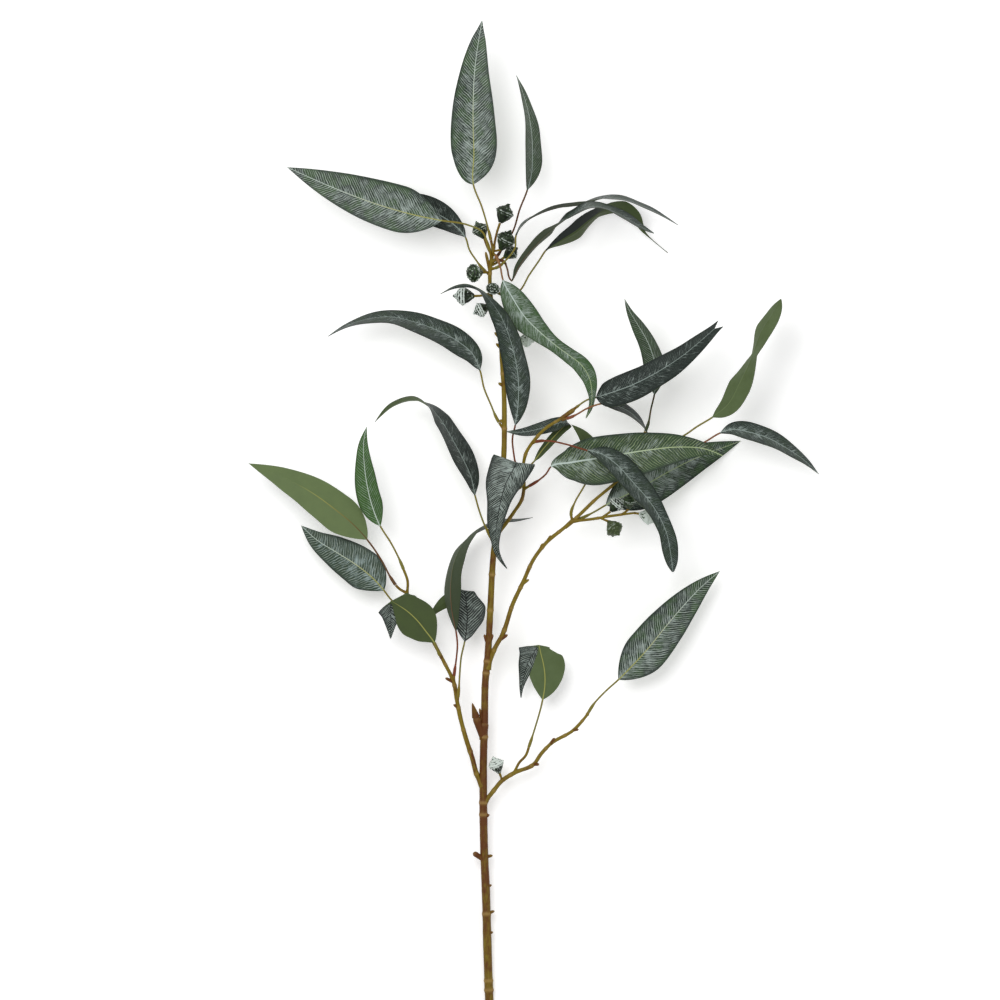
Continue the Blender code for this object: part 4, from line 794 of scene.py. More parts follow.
def bark_group():
    """Skin of stems and stalks: two tones in streaks, pale joint rings and small dark flecks."""
    group, given, result = new_group("bark", {
        "Green tone": BARK_OLIVE, "Brown tone": BARK_BROWN, "Ring tone": BARK_RING, "Fleck tone": DARK_RIB,
        "Browning": 0.5, "Flecks": 0.4,
    })
    place = add_node(group, "ShaderNodeTexCoord").outputs["Object"]
    stretched = add_node(group, "ShaderNodeMapping", {"Vector": place, "Scale": (1.0, 0.22, 1.0)})
    _, tone, ring, _ = attribute(group, "wood_place")
    streaks = noise(group, stretched.outputs["Vector"], 620.0, 4.0, 0.62)
    patches = noise(group, place, 42.0, 3.0, 0.6)
    brown = calc(group, "ADD", calc(group, "MULTIPLY_ADD", streaks, 1.1, -0.55),
                 calc(group, "MULTIPLY_ADD", patches, 1.4, -0.7))
    brown = calc(group, "ADD", brown, calc(group, "ADD", tone, given["Browning"]))
    skin = mixed(group, faded(group, brown, 0.2, 0.9), given["Green tone"], given["Brown tone"])
    flecks = faded(group, noise(group, place, 900.0, 2.0, 0.6), 0.6, 0.68)
    skin = mixed(group, calc(group, "MULTIPLY", flecks, given["Flecks"]), skin, given["Fleck tone"])
    skin = mixed(group, calc(group, "MULTIPLY", ring, 0.75), skin, given["Ring tone"])
    return end_group(group, result, skin, calc(group, "MULTIPLY_ADD", streaks, 0.25, 0.42), streaks)


def nut_group():
    """Skin of a gumnut: painted shade in the grooves, white bloom on ribs, rims, cap folds and warts."""
    group, given, result = new_group("gumnut skin", {
        "Dark and groove-shade tone": NUT_DARK_AND_SHADE, "Green tone": NUT_GREEN, "Bloom tone": NUT_FROST, "Greenness": 0.6,
        "Bloom": 0.6, "Bloom reach": 0.5,
    })
    place = add_node(group, "ShaderNodeTexCoord").outputs["Object"]
    _, relief, cap, wart = attribute(group, "nut_place")
    grain = noise(group, place, 420.0, 3.0, 0.6)
    blotch = noise(group, place, 190.0, 2.0)
    # Painted shade: the dark tone shows where the relief is low, in the grooves; green blotches are the nut's
    # own tone
    ridged = calc(group, "MAXIMUM", faded(group, blotch, 0.4, 0.65), faded(group, relief, 0.3, 0.6))
    skin = mixed(group, calc(group, "MULTIPLY", ridged, given["Greenness"]), given["Dark and groove-shade tone"],
                 given["Green tone"])
    high = calc(group, "ADD", relief, calc(group, "MULTIPLY_ADD", grain, 1.5, -0.75))
    high = calc(group, "ADD", high, calc(group, "MULTIPLY_ADD", blotch, 0.9, -0.45))
    high = calc(group, "ADD", high, calc(group, "MULTIPLY", wart, 0.1))
    rim = band(group, cap, RIM_HEIGHT, 0.01, 0.05, 0.4)
    second_rim = band(group, cap, LOWER_RIM_HEIGHT, 0.015, 0.045, 0.4)
    # Painted shade: the hollow between the two rims gets no bloom and stays dark
    hollow_shade = band(group, cap, GROOVE_HEIGHT, 0.01, 0.035, 0.35)
    high = calc(group, "SUBTRACT", calc(group, "ADD", high, calc(group, "ADD", rim, second_rim)), hollow_shade)
    high = calc(group, "SUBTRACT", high, faded(group, cap, 0.42, 0.56, 0.32, 0.0))
    limit = calc(group, "MULTIPLY_ADD", given["Bloom reach"], -1.0, 1.2)
    bloom = calc(group, "MULTIPLY", faded(group, calc(group, "SUBTRACT", high, limit), -0.08, 0.14),
                 given["Bloom"])
    skin = mixed(group, bloom, skin, given["Bloom tone"])
    return end_group(group, result, skin, calc(group, "MULTIPLY_ADD", bloom, 0.25, 0.4), grain)


def finish(name, group, values, bump=0.3, bump_distance=0.0003):
    """Make a material from a node group's colour, roughness and relief."""
    made = bpy.data.materials.new(name)
    made.use_nodes = True
    tree = made.node_tree
    shader = tree.nodes["Principled BSDF"]
    skin = add_node(tree, "ShaderNodeGroup", node_tree=group)
    for label, value in values.items():
        skin.inputs[label].default_value = value
    relief = add_node(tree, "ShaderNodeBump", {"Height": skin.outputs["Height"], "Strength": bump,
                                               "Distance": bump_distance})
    tree.links.new(skin.outputs["Colour"], shader.inputs["Base Color"])
    tree.links.new(skin.outputs["Roughness"], shader.inputs["Roughness"])
    tree.links.new(relief.outputs["Normal"], shader.inputs["Normal"])
    shader.inputs["Specular IOR Level"].default_value = SHINE
    made.diffuse_color = next(value for value in values.values() if isinstance(value, tuple))
    return made


# Leaf finishes: upper sides, undersides, and the wood-like stalks

LEAF_FACES = {
    "dark": {"Leaf colour": DARK_LEAF, "Patch colour": MOSS_LEAF, "Vein colour": GREY_VEIN,
             "Rib tip colour": GREY_VEIN, "Rib base colour": GREY_VEIN, "Frosting": 0.5,
             "Vein strength": 0.42, "Vein spacing": 2.4, "Frost by midrib": 0.7, "Rib width": 0.4},
    "deep": {"Leaf colour": DEEP_LEAF, "Patch colour": DARK_LEAF, "Vein colour": GREY_VEIN,
             "Rib tip colour": GREY_VEIN, "Rib base colour": GREY_VEIN, "Vein strength": 0.32,
             "Frosting": 0.45, "Vein spacing": 2.4, "Rib width": 0.4},
    "moss": {"Leaf colour": MOSS_LEAF, "Patch colour": GREEN_LEAF, "Margin colour": DARK_LEAF,
             "Vein strength": 0.5, "Frosting": 0.3, "Rib base colour": GREY_VEIN},
    "streaky": {"Leaf colour": DARK_LEAF, "Patch colour": GREEN_LEAF, "Vein strength": 0.45,
                "Frosting": 0.8, "Frost by midrib": 0.9, "Patchiness": 0.9, "Vein spacing": 2.7,
                "Rib base colour": YELLOW_VEIN, "Rib tip colour": YELLOW_VEIN},
    "misty": {"Leaf colour": DARK_LEAF, "Patch colour": MOSS_LEAF, "Vein strength": 0.55,
              "Frosting": 0.5, "Frost by midrib": 0.8, "Vein spacing": 2.3, "Vein colour": GREY_VEIN,
              "Rib base colour": GREY_VEIN, "Rib tip colour": GREY_VEIN},
    "grey": {"Leaf colour": DARK_LEAF, "Patch colour": GREEN_LEAF, "Margin colour": DARK_LEAF,
             "Vein strength": 1.0, "Frosting": 0.85, "Frost by midrib": 0.42, "Patchiness": 0.9,
             "Vein shadow": 1.0},
    "green": {"Leaf colour": MOSS_LEAF, "Patch colour": GREEN_LEAF, "Margin colour": DARK_LEAF,
              "Vein colour": YELLOW_VEIN, "Vein strength": 0.75, "Frosting": 0.75,
              "Rib base colour": FROST, "Rib tip colour": YELLOW_VEIN, "Rib width": 0.8,
              "Vein spacing": 3.4},
    "bright": {"Leaf colour": BRIGHT_LEAF, "Patch colour": GREEN_LEAF, "Margin colour": MOSS_LEAF,
               "Frosting": 0.3, "Vein strength": 0.55, "Rib base colour": PALE_VEIN},
    "frosted": {"Leaf colour": LEAF_SHADE, "Patch colour": MOSS_LEAF, "Frost colour": BLUE_FROST,
                "Frosting": 0.75, "Frost by midrib": 0.5, "Vein strength": 0.75, "Vein slope": 0.5,
                "Vein spacing": 2.7, "Vein shadow": 0.7},
    "speckled": {"Leaf colour": GREEN_LEAF, "Patch colour": BRIGHT_LEAF, "Margin colour": MOSS_LEAF,
                 "Frosting": 0.95, "Frost by midrib": 0.35, "Vein strength": 0.7, "Vein spacing": 2.0,
                 "Vein shadow": 0.9, "Rib base colour": FROST, "Rib tip colour": YELLOW_VEIN},
    "striped": {"Leaf colour": DEEP_LEAF, "Patch colour": DARK_LEAF, "Frosting": 0.5,
                "Vein strength": 1.0, "Vein shadow": 0.9, "Rib base colour": DARK_RIB,
                "Rib tip colour": DARK_RIB},
    "laced": {"Leaf colour": DEEP_LEAF, "Patch colour": DARK_LEAF, "Frosting": 1.0,
              "Frost by midrib": 0.35, "Vein strength": 1.0, "Vein spacing": 2.3, "Vein shadow": 0.9,
              "Rib base colour": DARK_RIB, "Rib tip colour": DARK_RIB},
}
LEAF_BACKS = {
    "green": {"Back colour": UNDER_GREEN, "Shade colour": UNDER_OLIVE, "Rib base colour": YELLOW_RIB},
    "pale": {"Back colour": UNDER_PALE, "Shade colour": UNDER_GREEN},
    # The olive and dark undersides are darker copies of the green one: painted shade for undersides turned
    # away from the light, the olive one partly its own tone
    "olive": {"Back colour": UNDER_OLIVE, "Shade colour": UNDER_DARK, "Rib base colour": YELLOW_RIB},
    "dark": {"Back colour": UNDER_DARK, "Shade colour": MOSS_LEAF, "Rib base colour": RED_BROWN,
             "Rib tip colour": UNDER_GREEN},
    "plain": {"Back colour": UNDER_GREEN, "Shade colour": UNDER_OLIVE, "Rib base colour": UNDER_PALE,
              "Rib tip colour": UNDER_PALE, "Rib width": 0.5},
    "curled": {"Back colour": UNDER_OLIVE, "Shade colour": UNDER_DARK, "Rib base colour": UNDER_OLIVE,
               "Rib tip colour": UNDER_OLIVE, "Curled margin": 0.9},
}
STALKS = {
    "olive": {"Green tone": OLIVE, "Brown tone": BARK_OLIVE},
    "red": {"Green tone": RED_BROWN, "Brown tone": BARK_BROWN},
    "tan": {"Green tone": TAN, "Brown tone": RED_BROWN},
    "dusky": {"Green tone": MOSS_LEAF, "Brown tone": BROWN_RIB},
    "brown": {"Green tone": BARK_BROWN, "Brown tone": BROWN_RIB},
}

# Which face, back and stalk each leaf has
LEAF_LOOKS = {
    "leaf_crown_top": ("grey", "green", "olive"),
    "leaf_crown_narrow": ("moss", "green", "brown"),
    "leaf_crown_high_arch": ("dark", "dark", "olive"),
    "leaf_crown_middle_arch": ("dark", "dark", "brown"),
    "leaf_crown_low_arch": ("deep", "curled", "olive"),
    "leaf_crown_left": ("grey", "green", "olive"),
    "leaf_crown_rear": ("deep", "dark", "olive"),
    "leaf_crown_bent": ("speckled", "green", "tan"),
    "leaf_stem_upper_arch": ("dark", "green", "olive"),
    "leaf_stem_lower_arch": ("deep", "green", "olive"),
    "leaf_stem_hanging": ("dark", "green", "red"),
    "leaf_stem_folded": ("laced", "green", "olive"),
    "leaf_twig_curled": ("dark", "olive", "olive"),
    "leaf_twig_broad": ("green", "green", "red"),
    "leaf_twig_long": ("misty", "green", "red"),
    "leaf_twig_dark": ("deep", "green", "olive"),
    "leaf_twig_short": ("deep", "green", "tan"),
    "leaf_right_rear": ("misty", "olive", "olive"),
    "leaf_right_low": ("streaky", "green", "olive"),
    "leaf_right_upright": ("moss", "green", "dusky"),
    "leaf_right_twisted": ("green", "plain", "olive"),
    "leaf_right_outer": ("misty", "green", "tan"),
    "leaf_left_upright": ("bright", "green", "olive"),
    "leaf_left_pale": ("green", "pale", "brown"),
    "leaf_left_frosted": ("frosted", "green", "olive"),
    "leaf_left_folded": ("laced", "olive", "olive"),
    "leaf_left_slender": ("dark", "dark", "red"),
    "leaf_left_curled": ("striped", "olive", "olive"),
    "leaf_low_long": ("grey", "green", "olive"),
    "leaf_low_folded": ("laced", "green", "olive"),
}


# Gumnut finishes

NUT_SKINS = {
    "dark": {"Dark and groove-shade tone": NUT_DARK_AND_SHADE, "Bloom": 0.65, "Bloom reach": 0.29},
    "mossy": {"Dark and groove-shade tone": NUT_DARK_AND_SHADE, "Greenness": 1.0, "Bloom": 0.6, "Bloom reach": 0.36},
    "dusty": {"Dark and groove-shade tone": NUT_DARK_AND_SHADE, "Bloom": 0.8, "Bloom reach": 0.48},
    "bloomed": {"Dark and groove-shade tone": NUT_DARK_AND_SHADE, "Bloom": 0.95, "Bloom reach": 0.7},
    "silvery": {"Dark and groove-shade tone": NUT_DARK_AND_SHADE, "Bloom": 1.0, "Bloom reach": 0.88},
    "white": {"Dark and groove-shade tone": NUT_DARK_AND_SHADE, "Bloom": 1.0, "Bloom reach": 1.1},
    "pale": {"Dark and groove-shade tone": NUT_GREEN, "Bloom": 1.0, "Bloom reach": 1.4},
    "green": {"Dark and groove-shade tone": UNDER_DARK, "Green tone": UNDER_OLIVE, "Greenness": 0.9, "Bloom": 0.35,
              "Bloom reach": 0.35},
}

# Which skin each gumnut has
NUT_LOOKS = {
    "gumnut_crown_1": "dark", "gumnut_crown_2": "dark", "gumnut_crown_3": "mossy",
    "gumnut_crown_4": "mossy", "gumnut_crown_5": "mossy", "gumnut_crown_6": "silvery",
    "gumnut_crown_7": "silvery", "gumnut_crown_8": "dusty", "gumnut_crown_9": "pale",
    "gumnut_low": "white", "gumnut_right_1": "green", "gumnut_right_2": "bloomed",
    "gumnut_right_3": "mossy", "gumnut_right_4": "pale",
}


# Meshes

def mesh_from(name, points, faces, slots, attributes, sharp):
    """Make a smooth mesh in metres from layout points, with material slots and point attributes."""
    mesh = bpy.data.meshes.new(name)
    mesh.from_pydata(at_place(points).tolist(), [], faces)
    mesh.polygons.foreach_set("material_index", slots)
    for label, values in attributes.items():
        layer = mesh.attributes.new(label, "FLOAT_VECTOR", "POINT")
        layer.data.foreach_set("vector", np.asarray(values, float).ravel())
    tidy = bmesh.new()
    tidy.from_mesh(mesh)
    if tidy.calc_volume(signed=True) < 0:
        bmesh.ops.reverse_faces(tidy, faces=tidy.faces)
    tidy.to_mesh(mesh)
    tidy.free()
    mesh.shade_smooth()
    mesh.set_sharp_from_angle(angle=math.radians(sharp))
    return mesh


def half_section(width, rib):
    """Distances from the midrib to the points across one half of a blade."""
    inner = min(rib, 0.5 * width)
    return [RIB_SHOULDER * inner, inner] + [inner + (width - inner) * share for share in MARGIN_SHARES]


def stalk_radius(gone):
    """Radius of a leaf's stalk, from the lip at its foot over the sleeve, at a share of the sleeve."""
    radius = STALK_RADIUS + (SLEEVE_RADIUS - STALK_RADIUS) * (1 - ease(0.5, 1.0, gone))
    return radius * (1 + (SLEEVE_LIP - 1) * (1 - ease(0.0, 0.22, gone)) if gone > 0.02 else 1.0)


def blade_section(left, right, half, t, length, waves):
    """Points around a blade at a share of its length, over its upper side and back below: how far
    each lies across and how high."""
    rib = RIB_HALF_WIDTH[0] + (RIB_HALF_WIDTH[1] - RIB_HALF_WIDTH[0]) * t
    across = np.array([-d for d in half_section(left, rib)[::-1]] + [0.0] + half_section(right, rib))
    part = np.abs(across) / np.where(across < 0, left, right)
    wave = [MARGIN_WAVE * math.sin(2 * math.pi * t * length / lam + phase) for lam, phase in zip(*waves)]
    level = LEAF_FOLD * half * part ** 1.15
    level += np.where(across < 0, wave[0], wave[1]) * part ** 2 * math.sin(math.pi * min(1, 1.04 * t))
    skin = 0.5 * BLADE_THICKNESS * (1 - MARGIN_THINNING * part ** 6)
    upper = level + skin - RIB_GROOVE * np.exp(-2 * (across / rib) ** 2) * (1 - GROOVE_FADE * t)
    under = level - skin - RIB_RIDGE * np.exp(-1.5 * (across / rib) ** 2) * (1 - RIDGE_FADE * t)
    return np.concatenate([across, across[::-1]]), np.concatenate([upper, under[::-1]])


def leaf_faces(rings, first, count):
    """Faces between a leaf's rings and over both ends, with their slots: 0 on the blade's upper side,
    1 below it, 2 on the stalk."""
    faces, slots = [], []
    half_count = count // 2
    for i in range(rings - 1):
        for k in range(count):
            a, b = i * count + k, i * count + (k + 1) % count
            faces.append((a, b, b + count, a + count))
            slots.append(2 if i < first else (0 if k < half_count - 1 or k == count - 1 else 1))
    for k in range(half_count - 1):
        cap = k, k + 1, count - 2 - k, count - 1 - k
        faces.append(cap[::-1])
        faces.append(tuple((rings - 1) * count + corner for corner in cap))
        slots += [2, 1]
    return faces, slots


def fine_leaf(number, name, leaf):
    """A leaf with its stalk and sleeve as one closed mesh, with its place on the leaf as attributes."""
    rng = np.random.default_rng(LEAF_SEED + number)
    waves = rng.uniform(*WAVE_LENGTHS, 2), rng.uniform(0, 2 * math.pi, 2)
    path, lengths = smooth_route(leaf["stalk"] + leaf["blade"])
    base = lengths[np.argmin(np.linalg.norm(path - np.array(leaf["blade"][0], float), axis=1))]
    foot = leaf.get("nub", NUB_LENGTH) + PIECE_GAP
    sleeve = min(leaf.get("sleeve", SLEEVE_LENGTH), SLEEVE_SHARE * (base - foot))
    stalk_count = max(6, int((base - foot) / STALK_STEP))
    stalk_where = np.linspace(foot, base, stalk_count, endpoint=False)
    length = lengths[-1] - base
    shares = np.linspace(0, 1, int(length / BLADE_STEP) + 1)
    # Closer rings where the stalk widens into the blade, and at the tip
    shares = np.sort(np.concatenate([shares, [0.25 * shares[1], 0.5 * shares[1], 1 - 0.4 * shares[1]]]))
    where = np.concatenate([stalk_where, base + shares * length])
    places, directions = along(path, lengths, where)
    if "crease" in leaf:
        blade_lengths = lengths[lengths > base + CREASE_FAR]
        fold = crease_place(blade_lengths, along(path, lengths, blade_lengths)[1])
    first = len(stalk_where)
    turns = leaf["turn"]
    start = turned(upward(directions[first]), directions[first], turns[0][1])
    onward = carried(places[first:], directions[first:], start)
    backward = carried(places[first::-1], -directions[first::-1], start)
    normals = backward[:0:-1] + onward
    halves = half_widths(leaf, shares)
    count = 2 * (2 * len(MARGIN_SHARES) + 5)
    half_count = count // 2
    angles = math.pi * (1 - (np.arange(half_count) + 0.5) / half_count)
    ring_angles = np.concatenate([angles, -angles[::-1]])
    rounded = np.stack([np.cos(ring_angles), np.sin(ring_angles)], axis=1)
    points, place_values, share_values = [], [], []
    for i, (place, direction, normal) in enumerate(zip(places, directions, normals)):
        if i < first:
            t, half, blade_share = 0.0, 0.0, 0.0
            left = right = thick = stalk_radius((where[i] - foot) / sleeve)
        else:
            t = shares[i - first]
            blade_share = ease(0.0, ROUND_BASE_SHARE, t)
            extra = np.interp(t, *zip(*turns)) - turns[0][1]
            normal = turned(normal, direction, extra)
            half = max(halves[i - first], TIP_HALF_WIDTH * (1 - 0.4 * t))
            half = max(half, 0.95 * STALK_RADIUS) if t < 0.5 else half
            lean = lean_at(leaf, t) if i > first else 0
            left, right = half * (1 - lean), half * (1 + lean)
            thick = STALK_RADIUS + (0.5 * BLADE_THICKNESS - STALK_RADIUS) * blade_share
        side = np.cross(direction, normal)
        if "crease" in leaf:
            side = creased_side(direction, where[i] - fold, leaf)
            normal = np.cross(side, direction)
            normal /= np.linalg.norm(normal)
        round_across = rounded[:, 0] * np.where(rounded[:, 0] < 0, left, right)
        round_up = rounded[:, 1] * thick
        flat_across, flat_up = blade_section(left, right, half, t, length, waves)
        s = round_across + (flat_across - round_across) * blade_share
        n = round_up + (flat_up - round_up) * blade_share
        edge = np.abs(s) / np.where(s < 0, left, right)
        notch = notch_depth(leaf, lengths[-1] - where[i], np.minimum(edge, 1))
        ring = place + s[:, None] * side + n[:, None] * normal
        ring -= np.broadcast_to(notch, count)[:, None] * direction
        ring[:, 2] = np.maximum(ring[:, 2], FLOOR_CLEARANCE)
        points.append(ring)
        lengthwise = where[i] - base
        place_values.append(np.stack([s, np.full(count, lengthwise), np.full(count, t)], axis=1))
        share_values.append(np.stack([edge, np.full(count, half), np.where(s < 0, -1.0, 1.0)], axis=1))
    faces, slots = leaf_faces(len(points), first, count)
    return mesh_from(f"{name}_veined", np.concatenate(points), faces, slots, {
        "leaf_place": np.concatenate(place_values), "leaf_share": np.concatenate(share_values),
        "wood_place": np.zeros((len(points) * count, 3)),
    }, LEAF_SHARP)


def swept_tree():
    """Geometry Nodes: sweep round tubes along every line of a mesh, at its own radius."""
    tree = bpy.data.node_groups.new("sweep along a path", "GeometryNodeTree")
    tree.interface.new_socket(name="Geometry", in_out="INPUT", socket_type="NodeSocketGeometry")
    sides = tree.interface.new_socket(name="Sides", in_out="INPUT", socket_type="NodeSocketInt")
    skin = tree.interface.new_socket(name="Skin", in_out="INPUT", socket_type="NodeSocketMaterial")
    tree.interface.new_socket(name="Geometry", in_out="OUTPUT", socket_type="NodeSocketGeometry")
    given = tree.nodes.new("NodeGroupInput").outputs
    result = tree.nodes.new("NodeGroupOutput").inputs
    curve = add_node(tree, "GeometryNodeMeshToCurve", {0: given["Geometry"]})
    radius = add_node(tree, "GeometryNodeInputNamedAttribute", {"Name": "tube_radius"})
    sized = add_node(tree, "GeometryNodeSetCurveRadius", {"Curve": curve.outputs[0],
                                                          "Radius": radius.outputs[0]})
    profile = add_node(tree, "GeometryNodeCurvePrimitiveCircle", {"Resolution": given["Sides"],
                                                                  "Radius": 1.0})
    swept = add_node(tree, "GeometryNodeCurveToMesh", {"Curve": sized.outputs[0],
                                                       "Profile Curve": profile.outputs[0],
                                                       "Fill Caps": True})
    if "Scale" in swept.inputs:
        tree.links.new(radius.outputs[0], swept.inputs["Scale"])
    real = add_node(tree, "GeometryNodeRealizeInstances", {0: swept.outputs[0]})
    dressed = add_node(tree, "GeometryNodeSetMaterial", {"Geometry": real.outputs[0],
                                                         "Material": given["Skin"]})
    tree.links.new(dressed.outputs[0], result["Geometry"])
    return tree, sides.identifier, skin.identifier


def evaluated_mesh(carrier, name):
    """Turn a carrier object's evaluated shape into a plain mesh, and remove the carrier."""
    depsgraph = bpy.context.evaluated_depsgraph_get()
    made = bpy.data.meshes.new_from_object(carrier.evaluated_get(depsgraph), depsgraph=depsgraph)
    old = carrier.data
    bpy.data.objects.remove(carrier)
    bpy.data.meshes.remove(old)
    made.name = name
    return made


def knobs(rng, where, radii, share):
    """Swell and pinch a shoot a little along its length."""
    knots = np.arange(-6, where[-1] + 12, KNOB_STEP)
    swell = np.interp(where, knots, rng.uniform(-1, 1, len(knots)))
    return radii * (1 + share * swell)


def bumps(where, middles, half_length):
    """Rise smoothly to 1 at each of the given places along a line, and fall to 0 between them."""
    return sum(np.exp(-((where - middle) / half_length) ** 2) for middle in middles)


def wood_lines():
    """Centre lines of the stem, its shoots, spurs, nubs and gumnut stalks, each as its points and
    their radius, tone and share of the joint rings' paint."""
    rng = np.random.default_rng(WOOD_SEED)
    lines = []

    path, lengths = smooth_route(STEM_ROUTE)
    where = np.arange(0, lengths[-1] + 0.01, SHOOT_RING_STEP)
    places, _ = along(path, lengths, where)
    places[where <= HEEL_LENGTH, 2] = STEM_ROUTE[0][2]
    radii = np.interp(where, *zip(*STEM_RADII))
    rings = bumps(where, STEM_RINGS, STEM_JOINT_HALF_LENGTH)
    radii = knobs(rng, where, radii, STEM_KNOBS) * (1 + JOINT_SWELL * rings)
    foot = where <= PLAIN_FOOT
    radii[foot] = np.interp(where[foot], *zip(*STEM_RADII)) * FOOT_SHARE
    tone = np.interp(where, *zip(*STEM_TONES))
    lines.append((places, radii, tone, np.minimum(rings, 1)))

    for number, (_, points, root, end) in enumerate(SHOOTS):
        path, lengths = smooth_route(points)
        where = np.linspace(0, lengths[-1], int(lengths[-1] / SHOOT_RING_STEP) + 1)
        places, _ = along(path, lengths, where)
        radii = np.linspace(root, end, len(where)) * (1 + SHOOT_FLARE[0] * bumps(where, [0], SHOOT_FLARE[1]))
        joints = np.arange(FIRST_SHOOT_JOINT + 3 * number, lengths[-1] - 4, SHOOT_JOINT_STEP)
        rings = bumps(where, joints, SHOOT_JOINT_HALF_LENGTH)
        radii = knobs(rng, where, radii, SHOOT_KNOBS) * (1 + JOINT_SWELL * rings)
        tone = np.linspace(*SHOOT_TONES, len(where))
        lines.append((places, radii, tone, np.minimum(rings, 1) * 0.6))

    for root, end, root_radius, end_radius in SPURS:
        path, lengths = smooth_route([root, end])
        where = np.linspace(0, lengths[-1], max(6, int(lengths[-1] / SPUR_RING_STEP)))
        places, _ = along(path, lengths, where)
        share = where / lengths[-1]
        radii = root_radius + (end_radius - root_radius) * share
        # The last fifth rounds off
        radii = radii * np.sqrt(np.maximum(0.04, 1 - np.maximum(0, (share - 0.8) / 0.2) ** 2 * 0.8))
        tone = BROWN_TONE if root[1] < BROWN_WOOD_TOP else GREEN_TONE
        lines.append((places, radii, np.full(len(where), tone), ease(0.7, 1.0, share) * 0.4))

    for leaf in LEAVES.values():
        nub = leaf.get("nub", NUB_LENGTH)
        path, lengths = smooth_route(leaf["stalk"] + leaf["blade"][:1])
        where = np.linspace(0, nub, max(5, int(nub / SPUR_RING_STEP)))
        places, _ = along(path, lengths, where)
        radii = NUB_RADIUS * (1 + NUB_FLARE[0] * bumps(where, [0], NUB_FLARE[1]))
        tone = np.full(len(where), GREEN_TONE)
        lines.append((places, radii, tone, ease(nub - 1.5, nub, where) * 0.5))

    for points, _, _ in GUMNUTS.values():
        path, lengths = smooth_route(points)
        where = np.linspace(0, lengths[-1], max(6, int(lengths[-1] / SPUR_RING_STEP)))
        places, _ = along(path, lengths, where)
        radii = np.interp(where / lengths[-1], [0, 0.5, 1], NUT_STALK_RADII)
        lines.append((places, radii, np.full(len(where), GREEN_TONE), np.zeros(len(where))))
    return lines


def wood_mesh(tree, sides_input, skin_input, skin):
    """Sweep all the wood as one piece."""
    points, edges, radii, tones = [], [], [], []
    for places, line_radii, tone, ring in wood_lines():
        start = len(points)
        points += at_place(places).tolist()
        edges += [(start + i, start + i + 1) for i in range(len(places) - 1)]
        radii += (line_radii * MM).tolist()
        tones += np.stack([tone, ring, np.zeros(len(tone))], axis=1).tolist()
    lines = bpy.data.meshes.new("wood_lines")
    lines.from_pydata(points, edges, [])
    lines.attributes.new("tube_radius", "FLOAT", "POINT").data.foreach_set("value", radii)
    lines.attributes.new("wood_place", "FLOAT_VECTOR", "POINT").data.foreach_set(
        "vector", np.array(tones).ravel())
    carrier = bpy.data.objects.new("wood_lines", lines)
    bpy.context.scene.collection.objects.link(carrier)
    modifier = carrier.modifiers.new("sweep", "NODES")
    modifier.node_group = tree
    modifier[sides_input] = TUBE_SIDES
    modifier[skin_input] = skin
    made = evaluated_mesh(carrier, "stem_bark")
    surface = np.empty(3 * len(made.vertices))
    made.vertices.foreach_get("co", surface)
    surface[2::3] = np.maximum(surface[2::3], 0)
    made.vertices.foreach_set("co", surface)
    made.update()
    made.shade_smooth()
    made.set_sharp_from_angle(angle=math.radians(BARK_SHARP))
    return made


